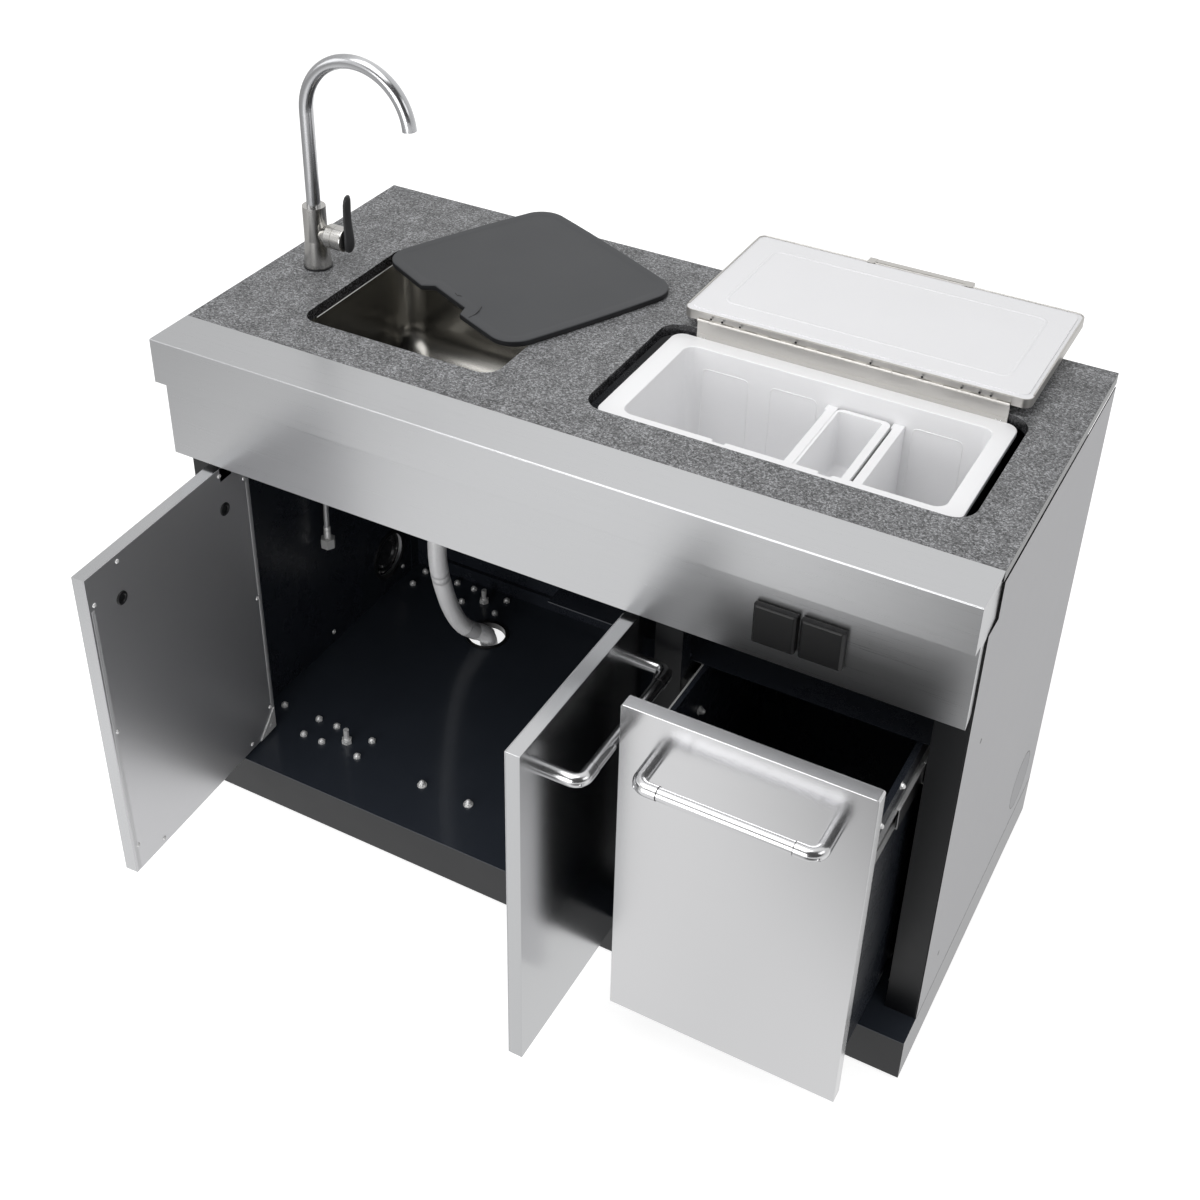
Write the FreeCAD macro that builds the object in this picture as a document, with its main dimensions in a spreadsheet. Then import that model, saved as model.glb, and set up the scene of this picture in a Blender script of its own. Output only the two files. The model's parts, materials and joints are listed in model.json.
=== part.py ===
import FreeCAD, Part
import math
import os
import Sketcher

# Outdoor kitchen island: a sink bay with two doors on the left, a drawer on the
# right, an insulated cooler let into the stone top, a faucet and a cut-out sink.
# Lengths are millimetres. Pieces are drawn in cabinet coordinates: x from the
# left side, y back from the upper fascia, z up from the bottom of the plinth.
# The part's own frame has its origin under the middle of the whole object.

DRIVING = {
    # whole cabinet
    "cabinet_width": 1310,
    "body_front": 59,
    "cabinet_depth": 657,
    "sheet": 1.5,
    "thin_sheet": 1.2,
    "foot_gap": 6,
    "plinth_front": 6,
    "plinth_top": 78.9,
    "panel_top": 885.6,
    "liner_inset": 23.5,
    "liner_sheet": 1,
    "post_leg": 25,
    "ledge_depth": 9,
    "ledge_bottom": 109,
    "ledge_height": 8,
    "back_inset": 17,
    # stone top
    "slab_front": 88,
    "slab_setback": 2,
    "slab_top": 911.4,
    "slab_thickness": 18.5,
    # fascias
    "upper_fascia_bottom": 836,
    "lower_fascia_front": 22,
    "lower_fascia_bottom": 694.6,
    "fascia_round": 6,
    "fascia_end_back": 100,
    "fascia_end_bottom": 826,
    # front frame
    "stile_front": 57.5,
    "left_stile_edge": 43,
    "centre_stile_from_right": 467,
    "centre_stile_width": 42,
    "right_stile_width": 50,
    "stile_return": 16,
    "rail_bottom": 692,
    "rail_height": 40,
    "rail_depth": 33,
    # doors
    "door_thickness": 23,
    "door_height": 597,
    "door_bottom": 89,
    "door_setback": 5.5,
    "door_side_gap": 4,
    "door_middle_gap": 2,
    "pivot_inset": 21.5,
    "pivot_radius": 4,
    "pivot_fit": 0.1,
    "pivot_collar_radius": 8,
    "pivot_pin_reach": 20,
    "left_door_open": 86.8,
    "right_door_open": 90,
    "door_screw_inset": 12,
    "door_screw_from_end": 52,
    "door_screw_middle": 298,
    "door_screw_from_side": 72,
    "door_screw_radius": 4,
    "door_screw_height": 1.8,
    "grommet_radius": 11.5,
    "grommet_height": 3,
    "notch_width": 30,
    "notch_height": 25,
    "notch_from_end": 40,
    "bracket_side": 46,
    "bracket_sheet": 2,
    "bracket_inset": 3,
    # handles
    "handle_spacing": 258,
    "handle_standoff": 52,
    "handle_below_top": 77.5,
    "bar_radius": 9.5,
    "elbow_radius": 10.5,
    "elbow_bend": 16,
    "sleeve_reach": 32,
    # drawer
    "drawer_front_left_gap": 8,
    "drawer_front_right_gap": 3,
    "drawer_front_face": 60,
    "drawer_corner": 4,
    "drawer_pull": 206,
    "drawer_box_depth": 480,
    "drawer_box_bottom": 120,
    "drawer_box_below_top": 101,
    "drawer_flange": 9,
    "slide_from_partition": 6.5,
    "slide_width": 12.5,
    "slide_below_top": 146,
    "slide_half_height": 20,
    "slide_running_gap": 0.6,
    "slide_lip": 6.5,
    "slide_front_gap": 1,
    "slide_right_gap": 29.5,
    "slide_bracket_length": 20,
    "slide_bracket_height": 24,
    "partition_width": 2,
    # cooler
    "cooler_right": 88.5,
    "cooler_length": 552,
    "cooler_front": 178,
    "cooler_depth": 274,
    "cooler_rim_top": 899,
    "cooler_rim_thickness": 9,
    "cooler_corner": 20,
    "cooler_gap_left": 15.5,
    "cooler_gap_right": 16.5,
    "cooler_gap_front": 11,
    "cooler_gap_back": 4,
    "slab_corner": 34,
    "well_left_rim": 34.5,
    "well_right_rim": 28.5,
    "well_front_rim": 19.5,
    "well_back_rim": 29,
    "well_bottom": 642,
    "well_corner": 18,
    "well_foot_round": 12,
    "tub_wall": 3,
    "shell_inset": 14,
    "shelf_top": 590,
    "shelf_before_rim": 29.5,
    "shelf_back": 470,
    "shelf_left_front": 101,
    "divider_width": 14.5,
    "divider_top": 864,
    "divider_gap": 0.5,
    "left_divider_from_rim": 272.5,
    "right_divider_from_rim": 377.5,
    "divider_end_length": 16,
    "divider_end_width": 17.5,
    "divider_end_height": 30,
    "pan_from_rim": 288.5,
    "pan_width": 85,
    "pan_front_gap": 14,
    "pan_back_gap": 6,
    "pan_top": 866,
    "pan_height": 98,
    "pan_wall": 4,
    "pan_grip": 12,
    "pan_rim_height": 7,
    "pan_ledge": 22,
    "pan_ledge_height": 4,
    "pan_ledge_inset": 2,
    "rim_notch_length": 19,
    "rim_notch_depth": 6,
    "rim_notch_height": 4,
    "first_rim_notch": 183,
    "second_rim_notch": 344,
    # cooler hinge and lid
    "hinge_rail_inset": 34.5,
    "hinge_rail_right_inset": 20.5,
    "hinge_rail_bottom": 889,
    "hinge_level": 928.5,
    "knuckle_radius": 2.75,
    "knuckle_count": 25,
    "knuckle_gap": 0.3,
    "hinge_pin_radius": 1.1,
    "lid_edge_from_hinge": 3,
    "lid_depth": 296,
    "lid_bottom": 927,
    "lid_thickness": 15,
    "lid_corner": 14,
    "lid_plug_inset": 8,
    "lid_plug_height": 2,
    "lid_leaf_bottom": 930,
    "lid_leaf_height": 11,
    "lid_right_of_rim": 8,
    "lid_bar_length": 165,
    "lid_bar_right_of_middle": 3.5,
    "lid_bar_gap": 1,
    "lid_bar_depth": 11,
    "lid_bar_bottom": 938,
    "lid_bar_thickness": 6,
    "lid_bracket_width": 13,
    "lid_bracket_bottom": 931,
    "lid_hook_reach": 6,
    "lid_hook_thickness": 2.5,
    # sink
    "sink_left": 154,
    "sink_length": 350,
    "sink_front": 170,
    "sink_depth": 289,
    "sink_corner": 28,
    "sink_reveal": 2,
    "sink_bottom": 711,
    "sink_foot_round": 25,
    "sink_flange": 18,
    "drain_from_left": 175,
    "drain_from_front": 144.5,
    "drain_hole_radius": 43,
    "strainer_flange_radius": 54,
    "strainer_bottom": 690,
    "strainer_cup_depth": 9,
    "tail_radius": 18,
    "tail_wall": 3,
    "cover_length": 376,
    "cover_width": 338,
    "cover_thickness": 10.4,
    "cover_corner": 45,
    "cover_bulge": 4,
    "cover_before_rim": 278,
    "cover_middle_y": 468.5,
    "cover_turn": 25.5,
    "cover_notch_width": 116,
    "cover_notch_depth": 18,
    "cover_notch_slant": 14,
    # faucet
    "faucet_from_left": 73,
    "faucet_from_front": 329,
    "faucet_ring_radius": 24,
    "faucet_ring_height": 3,
    "faucet_base_radius": 22.5,
    "faucet_foot_height": 6,
    "faucet_waist_level": 960,
    "faucet_body_radius": 19,
    "faucet_body_top": 1019,
    "spout_radius": 11.25,
    "spout_bore": 9,
    "spout_fit": 0.1,
    "spout_seat_level": 990,
    "spout_straight_top": 1179,
    "spout_bend": 96.5,
    "spout_end_above_centre": 23.3,
    "shank_radius": 14,
    "shank_bottom": 862,
    "shank_hole_radius": 17,
    "shank_nut_across": 46,
    "shank_nut_height": 12,
    "shank_fit": 0.2,
    "valve_level": 972,
    "valve_root_radius": 7,
    "valve_radius": 18.4,
    "valve_cap_radius": 20,
    "valve_reach": 27,
    "valve_joint_gap": 0.3,
    "valve_cap_length": 26,
    "lever_thickness": 20,
    "lever_bottom": 952,
    "lever_top": 1052,
    "lever_low_width": 24,
    "lever_high_width": 16,
    # hoses
    "supply_hose_radius": 5,
    "supply_nut_across": 24,
    "supply_nut_height": 19,
    "supply_nut_bore": 7.5,
    "supply_nut_bore_depth": 12,
    "drain_hose_radius": 17,
    "drain_hose_bore": 13,
    "drain_rib_pitch": 7,
    "drain_rib_depth": 1.6,
    "drain_cuff_length": 34,
    "floor_drain_x": 270,
    "floor_drain_y": 510,
    "floor_drain_radius": 36,
    "floor_drain_flange": 6,
    "floor_drain_wall": 0.9,
    "floor_drain_skirt": 8,
    "port_from_front": 541,
    "port_level": 165,
    "port_radius": 45,
    "port_flange": 7,
    "ring_height": 3,
    # outlets
    "outlet_side": 63,
    "outlet_depth": 14,
    "outlet_wall": 2,
    "outlet_gap": 0.3,
    "outlet_bottom": 730,
    "left_outlet_from_right": 303,
    "right_outlet_from_right": 235,
    "outlet_box_side": 50,
    "outlet_box_depth": 42,
    "outlet_flange": 4,
    "outlet_socket_radius": 17,
    "outlet_chamfer": 4,
    # base
    "plate_length": 100,
    "plate_width": 70,
    "plate_thickness": 3,
    "caster_plate_x": 93.3,
    "foot_plate_x": 210,
    "front_plate_y": 129.5,
    "rear_plate_from_back": 60,
    "nut_step_x": 77,
    "nut_step_y": 46,
    "nut_across": 12,
    "nut_height": 4,
    "dome_radius": 5.2,
    "bolt_radius": 3,
    "bolt_fit": 0.1,
    "bolt_head_across": 11,
    "bolt_head_height": 4,
    "foot_radius": 20,
    "foot_pad_height": 8,
    "stud_radius": 5,
    "stud_top": 110,
    "stud_nut_across": 17,
    "stud_nut_height": 8,
    "stud_fit": 0.2,
    "wheel_radius": 25,
    "wheel_width": 20,
    "wheel_floor_gap": 2,
    "caster_trail": 14,
    "fork_sheet": 2.5,
    "fork_gap": 1.2,
    "fork_disc_radius": 22,
    "fork_disc_height": 4,
    "axle_radius": 4,
    "axle_fit": 0.1,
    "axle_head": 2,
    "knockout_radius": 52.5,
    "knockout_groove": 1.4,
    "knockout_depth": 0.5,
    "knockout_from_front": 553,
    "knockout_level": 159,
    "side_hole_radius": 2.5,
    "upper_hole_from_front": 142,
    "upper_hole_level": 580,
    "lower_hole_from_front": 135,
    "lower_hole_level": 150,
    # how far two shapes of one solid run into each other where they join
    "weld": 1,
}

doc = FreeCAD.newDocument("KitchenIsland")
sheet = doc.addObject("Spreadsheet::Sheet", "Sizes")
for row, (alias, number) in enumerate(DRIVING.items(), start=1):
    sheet.set(f"A{row}", alias)
    sheet.set(f"B{row}", str(number))
    sheet.setAlias(f"B{row}", alias)
doc.recompute()


class Value:
    """A length: its number, and the expression that the document keeps for it."""

    def __init__(self, text, number):
        self.text = text
        self.number = number

    @staticmethod
    def of(other):
        if isinstance(other, Value):
            return other
        return Value(format(other, ".6f"), float(other))

    def joined(self, sign, other, number):
        return Value(f"({self.text} {sign} {other.text})", number)

    def __add__(self, other):
        other = Value.of(other)
        return self.joined("+", other, self.number + other.number)

    def __sub__(self, other):
        other = Value.of(other)
        return self.joined("-", other, self.number - other.number)

    def __mul__(self, other):
        other = Value.of(other)
        return self.joined("*", other, self.number * other.number)

    def __truediv__(self, other):
        other = Value.of(other)
        return self.joined("/", other, self.number / other.number)

    def __radd__(self, other):
        return Value.of(other) + self

    def __rsub__(self, other):
        return Value.of(other) - self

    def __rmul__(self, other):
        return Value.of(other) * self

    def __neg__(self):
        return Value.of(0) - self


class SheetValues:
    """Hands out each driving dimension as a Value bound to its cell."""

    def __getattr__(self, alias):
        return Value(f"Sizes.{alias}", float(DRIVING[alias]))


s = SheetValues()
UP = FreeCAD.Vector(0, 0, 1)
TURNS = {
    "z": FreeCAD.Rotation(),
    "x": FreeCAD.Rotation(FreeCAD.Vector(0, 1, 0), 90),
    "y": FreeCAD.Rotation(FreeCAD.Vector(1, 0, 0), -90),
}
sub_parts = []


def place(item, point):
    for axis, value in zip("xyz", point):
        item.setExpression(f"Placement.Base.{axis}", Value.of(value).text)
    return item


def primitive(kind, point, along="z", **lengths):
    item = doc.addObject(kind, kind.split("::")[1])
    for name, value in lengths.items():
        item.setExpression(name, Value.of(value).text)
    item.Placement = FreeCAD.Placement(FreeCAD.Vector(), TURNS[along])
    return place(item, point)


def box(low, high):
    """A block between two opposite corners."""
    spans = [b - a for a, b in zip(map(Value.of, low), map(Value.of, high))]
    return primitive("Part::Box", low, Length=spans[0], Width=spans[1], Height=spans[2])


def cylinder(point, radius, height, along="z"):
    return primitive("Part::Cylinder", point, along, Radius=radius, Height=height)


def hexagon(point, across, height, along="z"):
    item = primitive("Part::Prism", point, along, Circumradius=across / math.sqrt(3), Height=height)
    item.Polygon = 6
    return item


def dome(point, radius):
    item = primitive("Part::Sphere", point, Radius=radius)
    item.Angle1 = 0
    return item


def fuse(*items):
    if len(items) == 1:
        return items[0]
    item = doc.addObject("Part::MultiFuse", "Fusion")
    item.Shapes = list(items)
    item.Refine = True
    return item


def cut(base, *tools):
    item = doc.addObject("Part::Cut", "Cut")
    item.Base = base
    item.Tool = fuse(*tools)
    return item


def mirrored(item):
    """The same piece on the other side of the cabinet's middle."""
    twin = doc.addObject("Part::Mirroring", "Twin")
    twin.Source = item
    twin.Normal = (1, 0, 0)
    twin.setExpression("Base.x", (s.cabinet_width / 2).text)
    return twin


def group(*items):
    item = doc.addObject("Part::Compound", "Group")
    item.Links = list(items)
    return item


def moved(item, point, axis=UP, angle=0):
    """A piece drawn about its own origin, set down at a point and turned."""
    holder = group(item)
    turn = Value.of(angle)
    holder.Placement = FreeCAD.Placement(FreeCAD.Vector(), FreeCAD.Rotation(axis, 1))
    holder.setExpression("Placement.Rotation.Angle", turn.text)
    return place(holder, point)


def face_plane(body, role):
    return next(item for item in body.Origin.OriginFeatures if item.Role == role)


def new_sketch(body, role):
    sketch = body.newObject("Sketcher::SketchObject", "Outline")
    sketch.AttachmentSupport = (face_plane(body, role), [""])
    sketch.MapMode = "FlatFace"
    return sketch


def tie_point(sketch, index, corner, across, along):
    """Holds one end of a line at a named distance from the sketch's origin."""
    for kind, value, own_axis in (("DistanceX", across, -2), ("DistanceY", along, -1)):
        value = Value.of(value)
        if abs(value.number) < 1e-9:
            sketch.addConstraint(Sketcher.Constraint("PointOnObject", index, corner, own_axis))
        else:
            held = sketch.addConstraint(Sketcher.Constraint(kind, -1, 1, index, corner, value.number))
            sketch.setExpression(f"Constraints[{held}]", value.text)


def polygon(sketch, points):
    """A closed outline of straight lines with every corner tied to the sheet."""
    numbers = [FreeCAD.Vector(Value.of(a).number, Value.of(b).number, 0) for a, b in points]
    first = sketch.GeometryCount
    for here, there in zip(numbers, numbers[1:] + numbers[:1]):
        sketch.addGeometry(Part.LineSegment(here, there), False)
    for step, (across, along) in enumerate(points):
        before = first + (step - 1) % len(points)
        sketch.addConstraint(Sketcher.Constraint("Coincident", before, 2, first + step, 1))
        tie_point(sketch, first + step, 1, across, along)


def circle(sketch, across, along, radius):
    radius = Value.of(radius)
    centre = FreeCAD.Vector(Value.of(across).number, Value.of(along).number, 0)
    index = sketch.addGeometry(Part.Circle(centre, FreeCAD.Vector(0, 0, 1), radius.number), False)
    held = sketch.addConstraint(Sketcher.Constraint("Radius", index, radius.number))
    sketch.setExpression(f"Constraints[{held}]", radius.text)
    tie_point(sketch, index, 3, across, along)


def new_body(point):
    return place(doc.addObject("PartDesign::Body", "Body"), point)


def pad(body, sketch, length):
    feature = body.newObject("PartDesign::Pad", "Pad")
    feature.Profile = sketch
    feature.setExpression("Length", Value.of(length).text)
    doc.recompute()
    return feature


def is_upright(edge):
    return len(edge.Vertexes) == 2 and abs(edge.tangentAt(edge.FirstParameter).z) > 0.999


def is_at_foot(edge):
    return edge.BoundBox.ZMax < 1e-6


def is_front_top(edge):
    box_of_edge = edge.BoundBox
    return box_of_edge.YMax < 1e-6 and box_of_edge.ZLength < 1e-6 and box_of_edge.ZMax > 1


def round_edges(body, feature, wanted, radius):
    names = [f"Edge{index + 1}" for index, edge in enumerate(feature.Shape.Edges) if wanted(edge)]
    fillet = body.newObject("PartDesign::Fillet", "Rounding")
    fillet.Base = (feature, names)
    fillet.setExpression("Radius", Value.of(radius).text)
    doc.recompute()
    return fillet


def block(low, high, *roundings):
    """A padded block between two corners with the wanted edges rounded, in order."""
    spans = [b - a for a, b in zip(map(Value.of, low), map(Value.of, high))]
    body = new_body(low)
    sketch = new_sketch(body, "XY_Plane")
    polygon(sketch, [(0, 0), (spans[0], 0), (spans[0], spans[1]), (0, spans[1])])
    feature = pad(body, sketch, spans[2])
    # bodies are drawn at their own origin, so the edge tests read local places
    for wanted, radius in roundings:
        feature = round_edges(body, feature, wanted, radius)
    return body


def revolved(point, outline):
    """A turned piece: the outline's radius and height spun about the upright axis."""
    body = new_body(point)
    sketch = new_sketch(body, "XZ_Plane")
    polygon(sketch, outline)
    feature = body.newObject("PartDesign::Revolution", "Turned")
    feature.Profile = sketch
    feature.ReferenceAxis = (sketch, ["V_Axis"])
    feature.Angle = 360
    doc.recompute()
    return body


def sub_part(name, *items, shift=(0, 0, 0)):
    """Names one sub-part and sets it on the frame, whose origin is under the middle."""
    item = group(*items)
    item.Label = name
    place(item, (shift[0] - cabinet_middle_x, shift[1] - cabinet_middle_y, shift[2] + s.foot_gap))
    sub_parts.append(item)
    return item


def swung_part(name, pivot, axis, angle, *items):
    """Names one sub-part drawn about its hinge line, and swings it open."""
    holder = group(*items)
    holder.Label = name
    holder.Placement = FreeCAD.Placement(FreeCAD.Vector(), FreeCAD.Rotation(axis, 1))
    holder.setExpression("Placement.Rotation.Angle", Value.of(angle).text)
    place(holder, (pivot[0] - cabinet_middle_x, pivot[1] - cabinet_middle_y, pivot[2] + s.foot_gap))
    sub_parts.append(holder)
    return holder


# Places that several pieces share

right_stile_edge = s.cabinet_width - s.right_stile_width
centre_stile_edge = s.cabinet_width - s.centre_stile_from_right
door_run = centre_stile_edge - s.left_stile_edge - 2 * s.door_side_gap - s.door_middle_gap
door_width = door_run / 2
door_reach = door_width - s.pivot_inset
pivot_y = s.stile_front + s.door_setback + s.door_thickness / 2
left_pivot_x = s.left_stile_edge + s.door_side_gap + s.pivot_inset
right_pivot_x = centre_stile_edge - s.door_side_gap - s.pivot_inset
door_top = s.door_bottom + s.door_height
handle_level = door_top - s.handle_below_top
slide_level = door_top - s.slide_below_top
floor_top = s.plinth_top + s.sheet
slab_bottom = s.slab_top - s.slab_thickness
slab_back = s.cabinet_depth - s.slab_setback
rear_plate_y = s.cabinet_depth - s.rear_plate_from_back
liner_face = s.liner_inset + s.liner_sheet
right_liner_face = s.cabinet_width - liner_face
back_face = s.cabinet_depth - s.back_inset
partition_left = centre_stile_edge + s.centre_stile_width
partition_right = partition_left + s.partition_width
faucet_x = s.faucet_from_left
faucet_y = s.faucet_from_front
drain_x = s.sink_left + s.drain_from_left
drain_y = s.sink_front + s.drain_from_front
rim_left = s.cabinet_width - s.cooler_right - s.cooler_length
rim_right = s.cabinet_width - s.cooler_right
rim_back = s.cooler_front + s.cooler_depth
rim_bottom = s.cooler_rim_top - s.cooler_rim_thickness
well_left = rim_left + s.well_left_rim
well_right = rim_right - s.well_right_rim
well_front = s.cooler_front + s.well_front_rim
well_back = rim_back - s.well_back_rim
lid_front = rim_back + s.lid_edge_from_hinge
lid_back = lid_front + s.lid_depth
lid_left = rim_left + s.lid_right_of_rim
lid_right = rim_right + s.lid_right_of_rim
cabinet_middle_x = s.cabinet_width / 2
front_reach = pivot_y - door_reach
back_reach = lid_back + s.lid_bar_gap + s.lid_bar_depth
cabinet_middle_y = (front_reach + back_reach) / 2
slide_left = partition_right + s.slide_from_partition
slide_right = right_liner_face - s.slide_right_gap
drawer_left = slide_left + s.slide_width
drawer_right = slide_right - s.slide_width
pan_left = rim_left + s.pan_from_rim
pan_right = pan_left + s.pan_width
pan_front = well_front + s.pan_front_gap
pan_back = well_back - s.pan_back_gap
pan_bottom = s.pan_top - s.pan_height


# Base: plinths, floor pan, plates, feet and casters

def base_pieces():
    plinth_back = s.plinth_front + s.sheet
    sub_part("front_plinth", box((0, s.plinth_front, 0), (s.cabinet_width, plinth_back, s.plinth_top)))
    left = box((0, plinth_back, 0), (s.sheet, s.cabinet_depth, s.plinth_top))
    rear = box(
        (s.sheet, s.cabinet_depth - s.sheet, 0),
        (s.cabinet_width - s.sheet, s.cabinet_depth, s.plinth_top),
    )
    sub_part("side_plinths", left, mirrored(left), rear)


def stud_places():
    return [(s.foot_plate_x, y) for y in (s.front_plate_y, rear_plate_y)]


def caster_places():
    return [(s.caster_plate_x, y) for y in (s.front_plate_y, rear_plate_y)]


def bolt_places():
    """The four bolts of each plate on the left half of the floor."""
    for x, y in caster_places() + stud_places():
        for side in (-0.5, 0.5):
            for end in (-0.5, 0.5):
                yield x + side * s.nut_step_x, y + end * s.nut_step_y


def holes_through(low, high, radius, places):
    return [cylinder((x, y, low), radius, high - low) for x, y in places]


def both_sides(items):
    return [piece for item in items for piece in (item, mirrored(item))]


def floor_pieces():
    pan = box((0, s.plinth_front, s.plinth_top), (s.cabinet_width, s.cabinet_depth, floor_top))
    bolt_hole = s.bolt_radius + s.bolt_fit
    holes = holes_through(s.plinth_top, floor_top, bolt_hole, bolt_places())
    holes += holes_through(s.plinth_top, floor_top, s.stud_radius + s.stud_fit, stud_places())
    holes = both_sides(holes)
    skirt = s.floor_drain_radius + s.floor_drain_wall + s.pivot_fit
    holes.append(cylinder((s.floor_drain_x, s.floor_drain_y, s.plinth_top), skirt, s.sheet))
    for x in (left_pivot_x, right_pivot_x):
        holes.append(cylinder((x, pivot_y, s.plinth_top), s.pivot_radius + s.pivot_fit, s.sheet))
    sub_part("floor_pan", cut(pan, *holes))

    plate_bottom = s.plinth_top - s.plate_thickness
    plates = []
    for index, (x, y) in enumerate(caster_places() + stud_places()):
        plate = box(
            (x - s.plate_length / 2, y - s.plate_width / 2, plate_bottom),
            (x + s.plate_length / 2, y + s.plate_width / 2, s.plinth_top),
        )
        near = [
            (x + side * s.nut_step_x, y + end * s.nut_step_y)
            for side in (-0.5, 0.5) for end in (-0.5, 0.5)
        ]
        own_holes = holes_through(plate_bottom, s.plinth_top, bolt_hole, near)
        if index >= len(caster_places()):
            own_holes += holes_through(
                plate_bottom, s.plinth_top, s.stud_radius + s.stud_fit, [(x, y)])
        plates.append(cut(plate, *own_holes))
    sub_part("base_plates", *both_sides(plates))

    nuts = []
    for x, y in bolt_places():
        nut = fuse(
            hexagon((x, y, floor_top), s.nut_across, s.nut_height),
            dome((x, y, floor_top + s.nut_height), s.dome_radius),
            cylinder((x, y, plate_bottom), s.bolt_radius, floor_top - plate_bottom),
            hexagon((x, y, plate_bottom - s.bolt_head_height), s.bolt_head_across, s.bolt_head_height),
        )
        nuts.append(nut)
    sub_part("floor_fasteners", *both_sides(nuts))

    feet = []
    for x, y in stud_places():
        pad_bottom = -s.foot_gap
        feet.append(fuse(
            cylinder((x, y, pad_bottom), s.foot_radius, s.foot_pad_height),
            cylinder((x, y, pad_bottom), s.stud_radius, s.stud_top + s.foot_gap),
            hexagon((x, y, floor_top), s.stud_nut_across, s.stud_nut_height),
            hexagon((x, y, plate_bottom - s.stud_nut_height), s.stud_nut_across, s.stud_nut_height),
        ))
    sub_part("levelling_feet", *both_sides(feet))


def caster_pieces():
    """Four swivelling casters whose wheels hang just clear of the floor."""
    wheel_middle = s.wheel_radius + s.wheel_floor_gap
    half_wheel = s.wheel_width / 2
    leg_in = half_wheel + s.fork_gap
    leg_out = leg_in + s.fork_sheet
    stem_top = s.plinth_top - s.plate_thickness + s.foot_gap
    leg_foot = wheel_middle - s.axle_radius - s.fork_sheet
    leg_half = s.axle_radius + s.fork_sheet
    plates = [
        ("front_left", s.caster_plate_x, s.front_plate_y),
        ("front_right", s.cabinet_width - s.caster_plate_x, s.front_plate_y),
        ("rear_left", s.caster_plate_x, rear_plate_y),
        ("rear_right", s.cabinet_width - s.caster_plate_x, rear_plate_y),
    ]
    for name, x, y in plates:
        disc = cylinder((0, 0, stem_top - s.fork_disc_height), s.fork_disc_radius, s.fork_disc_height)
        legs = []
        for low, high in ((leg_in, leg_out), (-leg_out, -leg_in)):
            legs.append(box(
                (low, s.caster_trail - leg_half, leg_foot),
                (high, s.caster_trail + leg_half, stem_top - s.fork_disc_height),
            ))
        axle = cylinder((-leg_out - s.axle_head, s.caster_trail, wheel_middle),
                        s.axle_radius, 2 * (leg_out + s.axle_head), "x")
        sub_part(f"caster_fork_{name}", fuse(disc, axle, *legs), shift=(x, y, -s.foot_gap))
        wheel = cylinder((-half_wheel, s.caster_trail, wheel_middle), s.wheel_radius, s.wheel_width, "x")
        bore = cylinder((-half_wheel, s.caster_trail, wheel_middle),
                        s.axle_radius + s.axle_fit, s.wheel_width, "x")
        sub_part(f"caster_wheel_{name}", cut(wheel, bore), shift=(x, y, -s.foot_gap))


# Cabinet shell

def side_panel():
    """The left side in outline, with its step behind the fascia, folded from sheet."""
    body = new_body((s.sheet, 0, 0))
    sketch = new_sketch(body, "YZ_Plane")
    polygon(sketch, [
        (s.body_front, floor_top),
        (s.cabinet_depth, floor_top),
        (s.cabinet_depth, s.panel_top),
        (s.fascia_end_back, s.panel_top),
        (s.fascia_end_back, s.fascia_end_bottom),
        (s.body_front, s.fascia_end_bottom),
    ])
    feature = pad(body, sketch, s.sheet)
    feature.Reversed = True
    doc.recompute()
    centre = (0, s.knockout_from_front, s.knockout_level)
    groove = cut(
        cylinder(centre, s.knockout_radius, s.knockout_depth, "x"),
        cylinder(centre, s.knockout_radius - s.knockout_groove, s.knockout_depth, "x"))
    spots = (
        (s.upper_hole_from_front, s.upper_hole_level),
        (s.lower_hole_from_front, s.lower_hole_level),
    )
    holes = [cylinder((0, y, z), s.side_hole_radius, s.sheet, "x") for y, z in spots]
    return cut(body, groove, *holes)


def shell_pieces():
    panel = side_panel()
    sub_part("left_side_panel", panel)
    sub_part("right_side_panel", mirrored(panel))

    plain_liner = box((s.liner_inset, s.body_front, floor_top), (liner_face, back_face, slab_bottom))
    port = cylinder((s.liner_inset, s.port_from_front, s.port_level), s.port_radius, s.liner_sheet, "x")
    post_face = liner_face + s.post_leg
    post_front = back_face - s.post_leg
    post = cut(
        box((liner_face, post_front, floor_top), (post_face, back_face, s.panel_top)),
        box((liner_face + s.sheet, post_front, floor_top), (post_face, back_face - s.sheet, s.panel_top)),
    )
    liners = [cut(plain_liner, port), mirrored(plain_liner)]
    tall = box((partition_left, s.body_front, floor_top),
               (partition_right, s.slab_front - s.sheet, s.upper_fascia_bottom))
    low = box((partition_left, s.body_front, floor_top),
              (partition_right, back_face, s.shelf_top - s.sheet))
    sub_part("inner_walls", *liners, *both_sides([post]), fuse(tall, low))

    sheet_back = box((s.liner_inset, back_face, floor_top),
                     (s.cabinet_width - s.liner_inset, back_face + s.sheet, slab_bottom))
    ledge = box((post_face, back_face - s.ledge_depth, s.ledge_bottom),
                (partition_left, back_face, s.ledge_bottom + s.ledge_height))
    sub_part("back_panel", fuse(sheet_back, ledge))

    over_drawer = box((partition_left, s.slab_front, s.shelf_top - s.sheet),
                      (right_liner_face, s.shelf_back, s.shelf_top))
    behind_doors = box((rim_left - s.shelf_before_rim, s.shelf_left_front, s.shelf_top - s.sheet),
                       (partition_left, s.shelf_back, s.shelf_top))
    sub_part("cooler_shelf", fuse(over_drawer, behind_doors))


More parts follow.
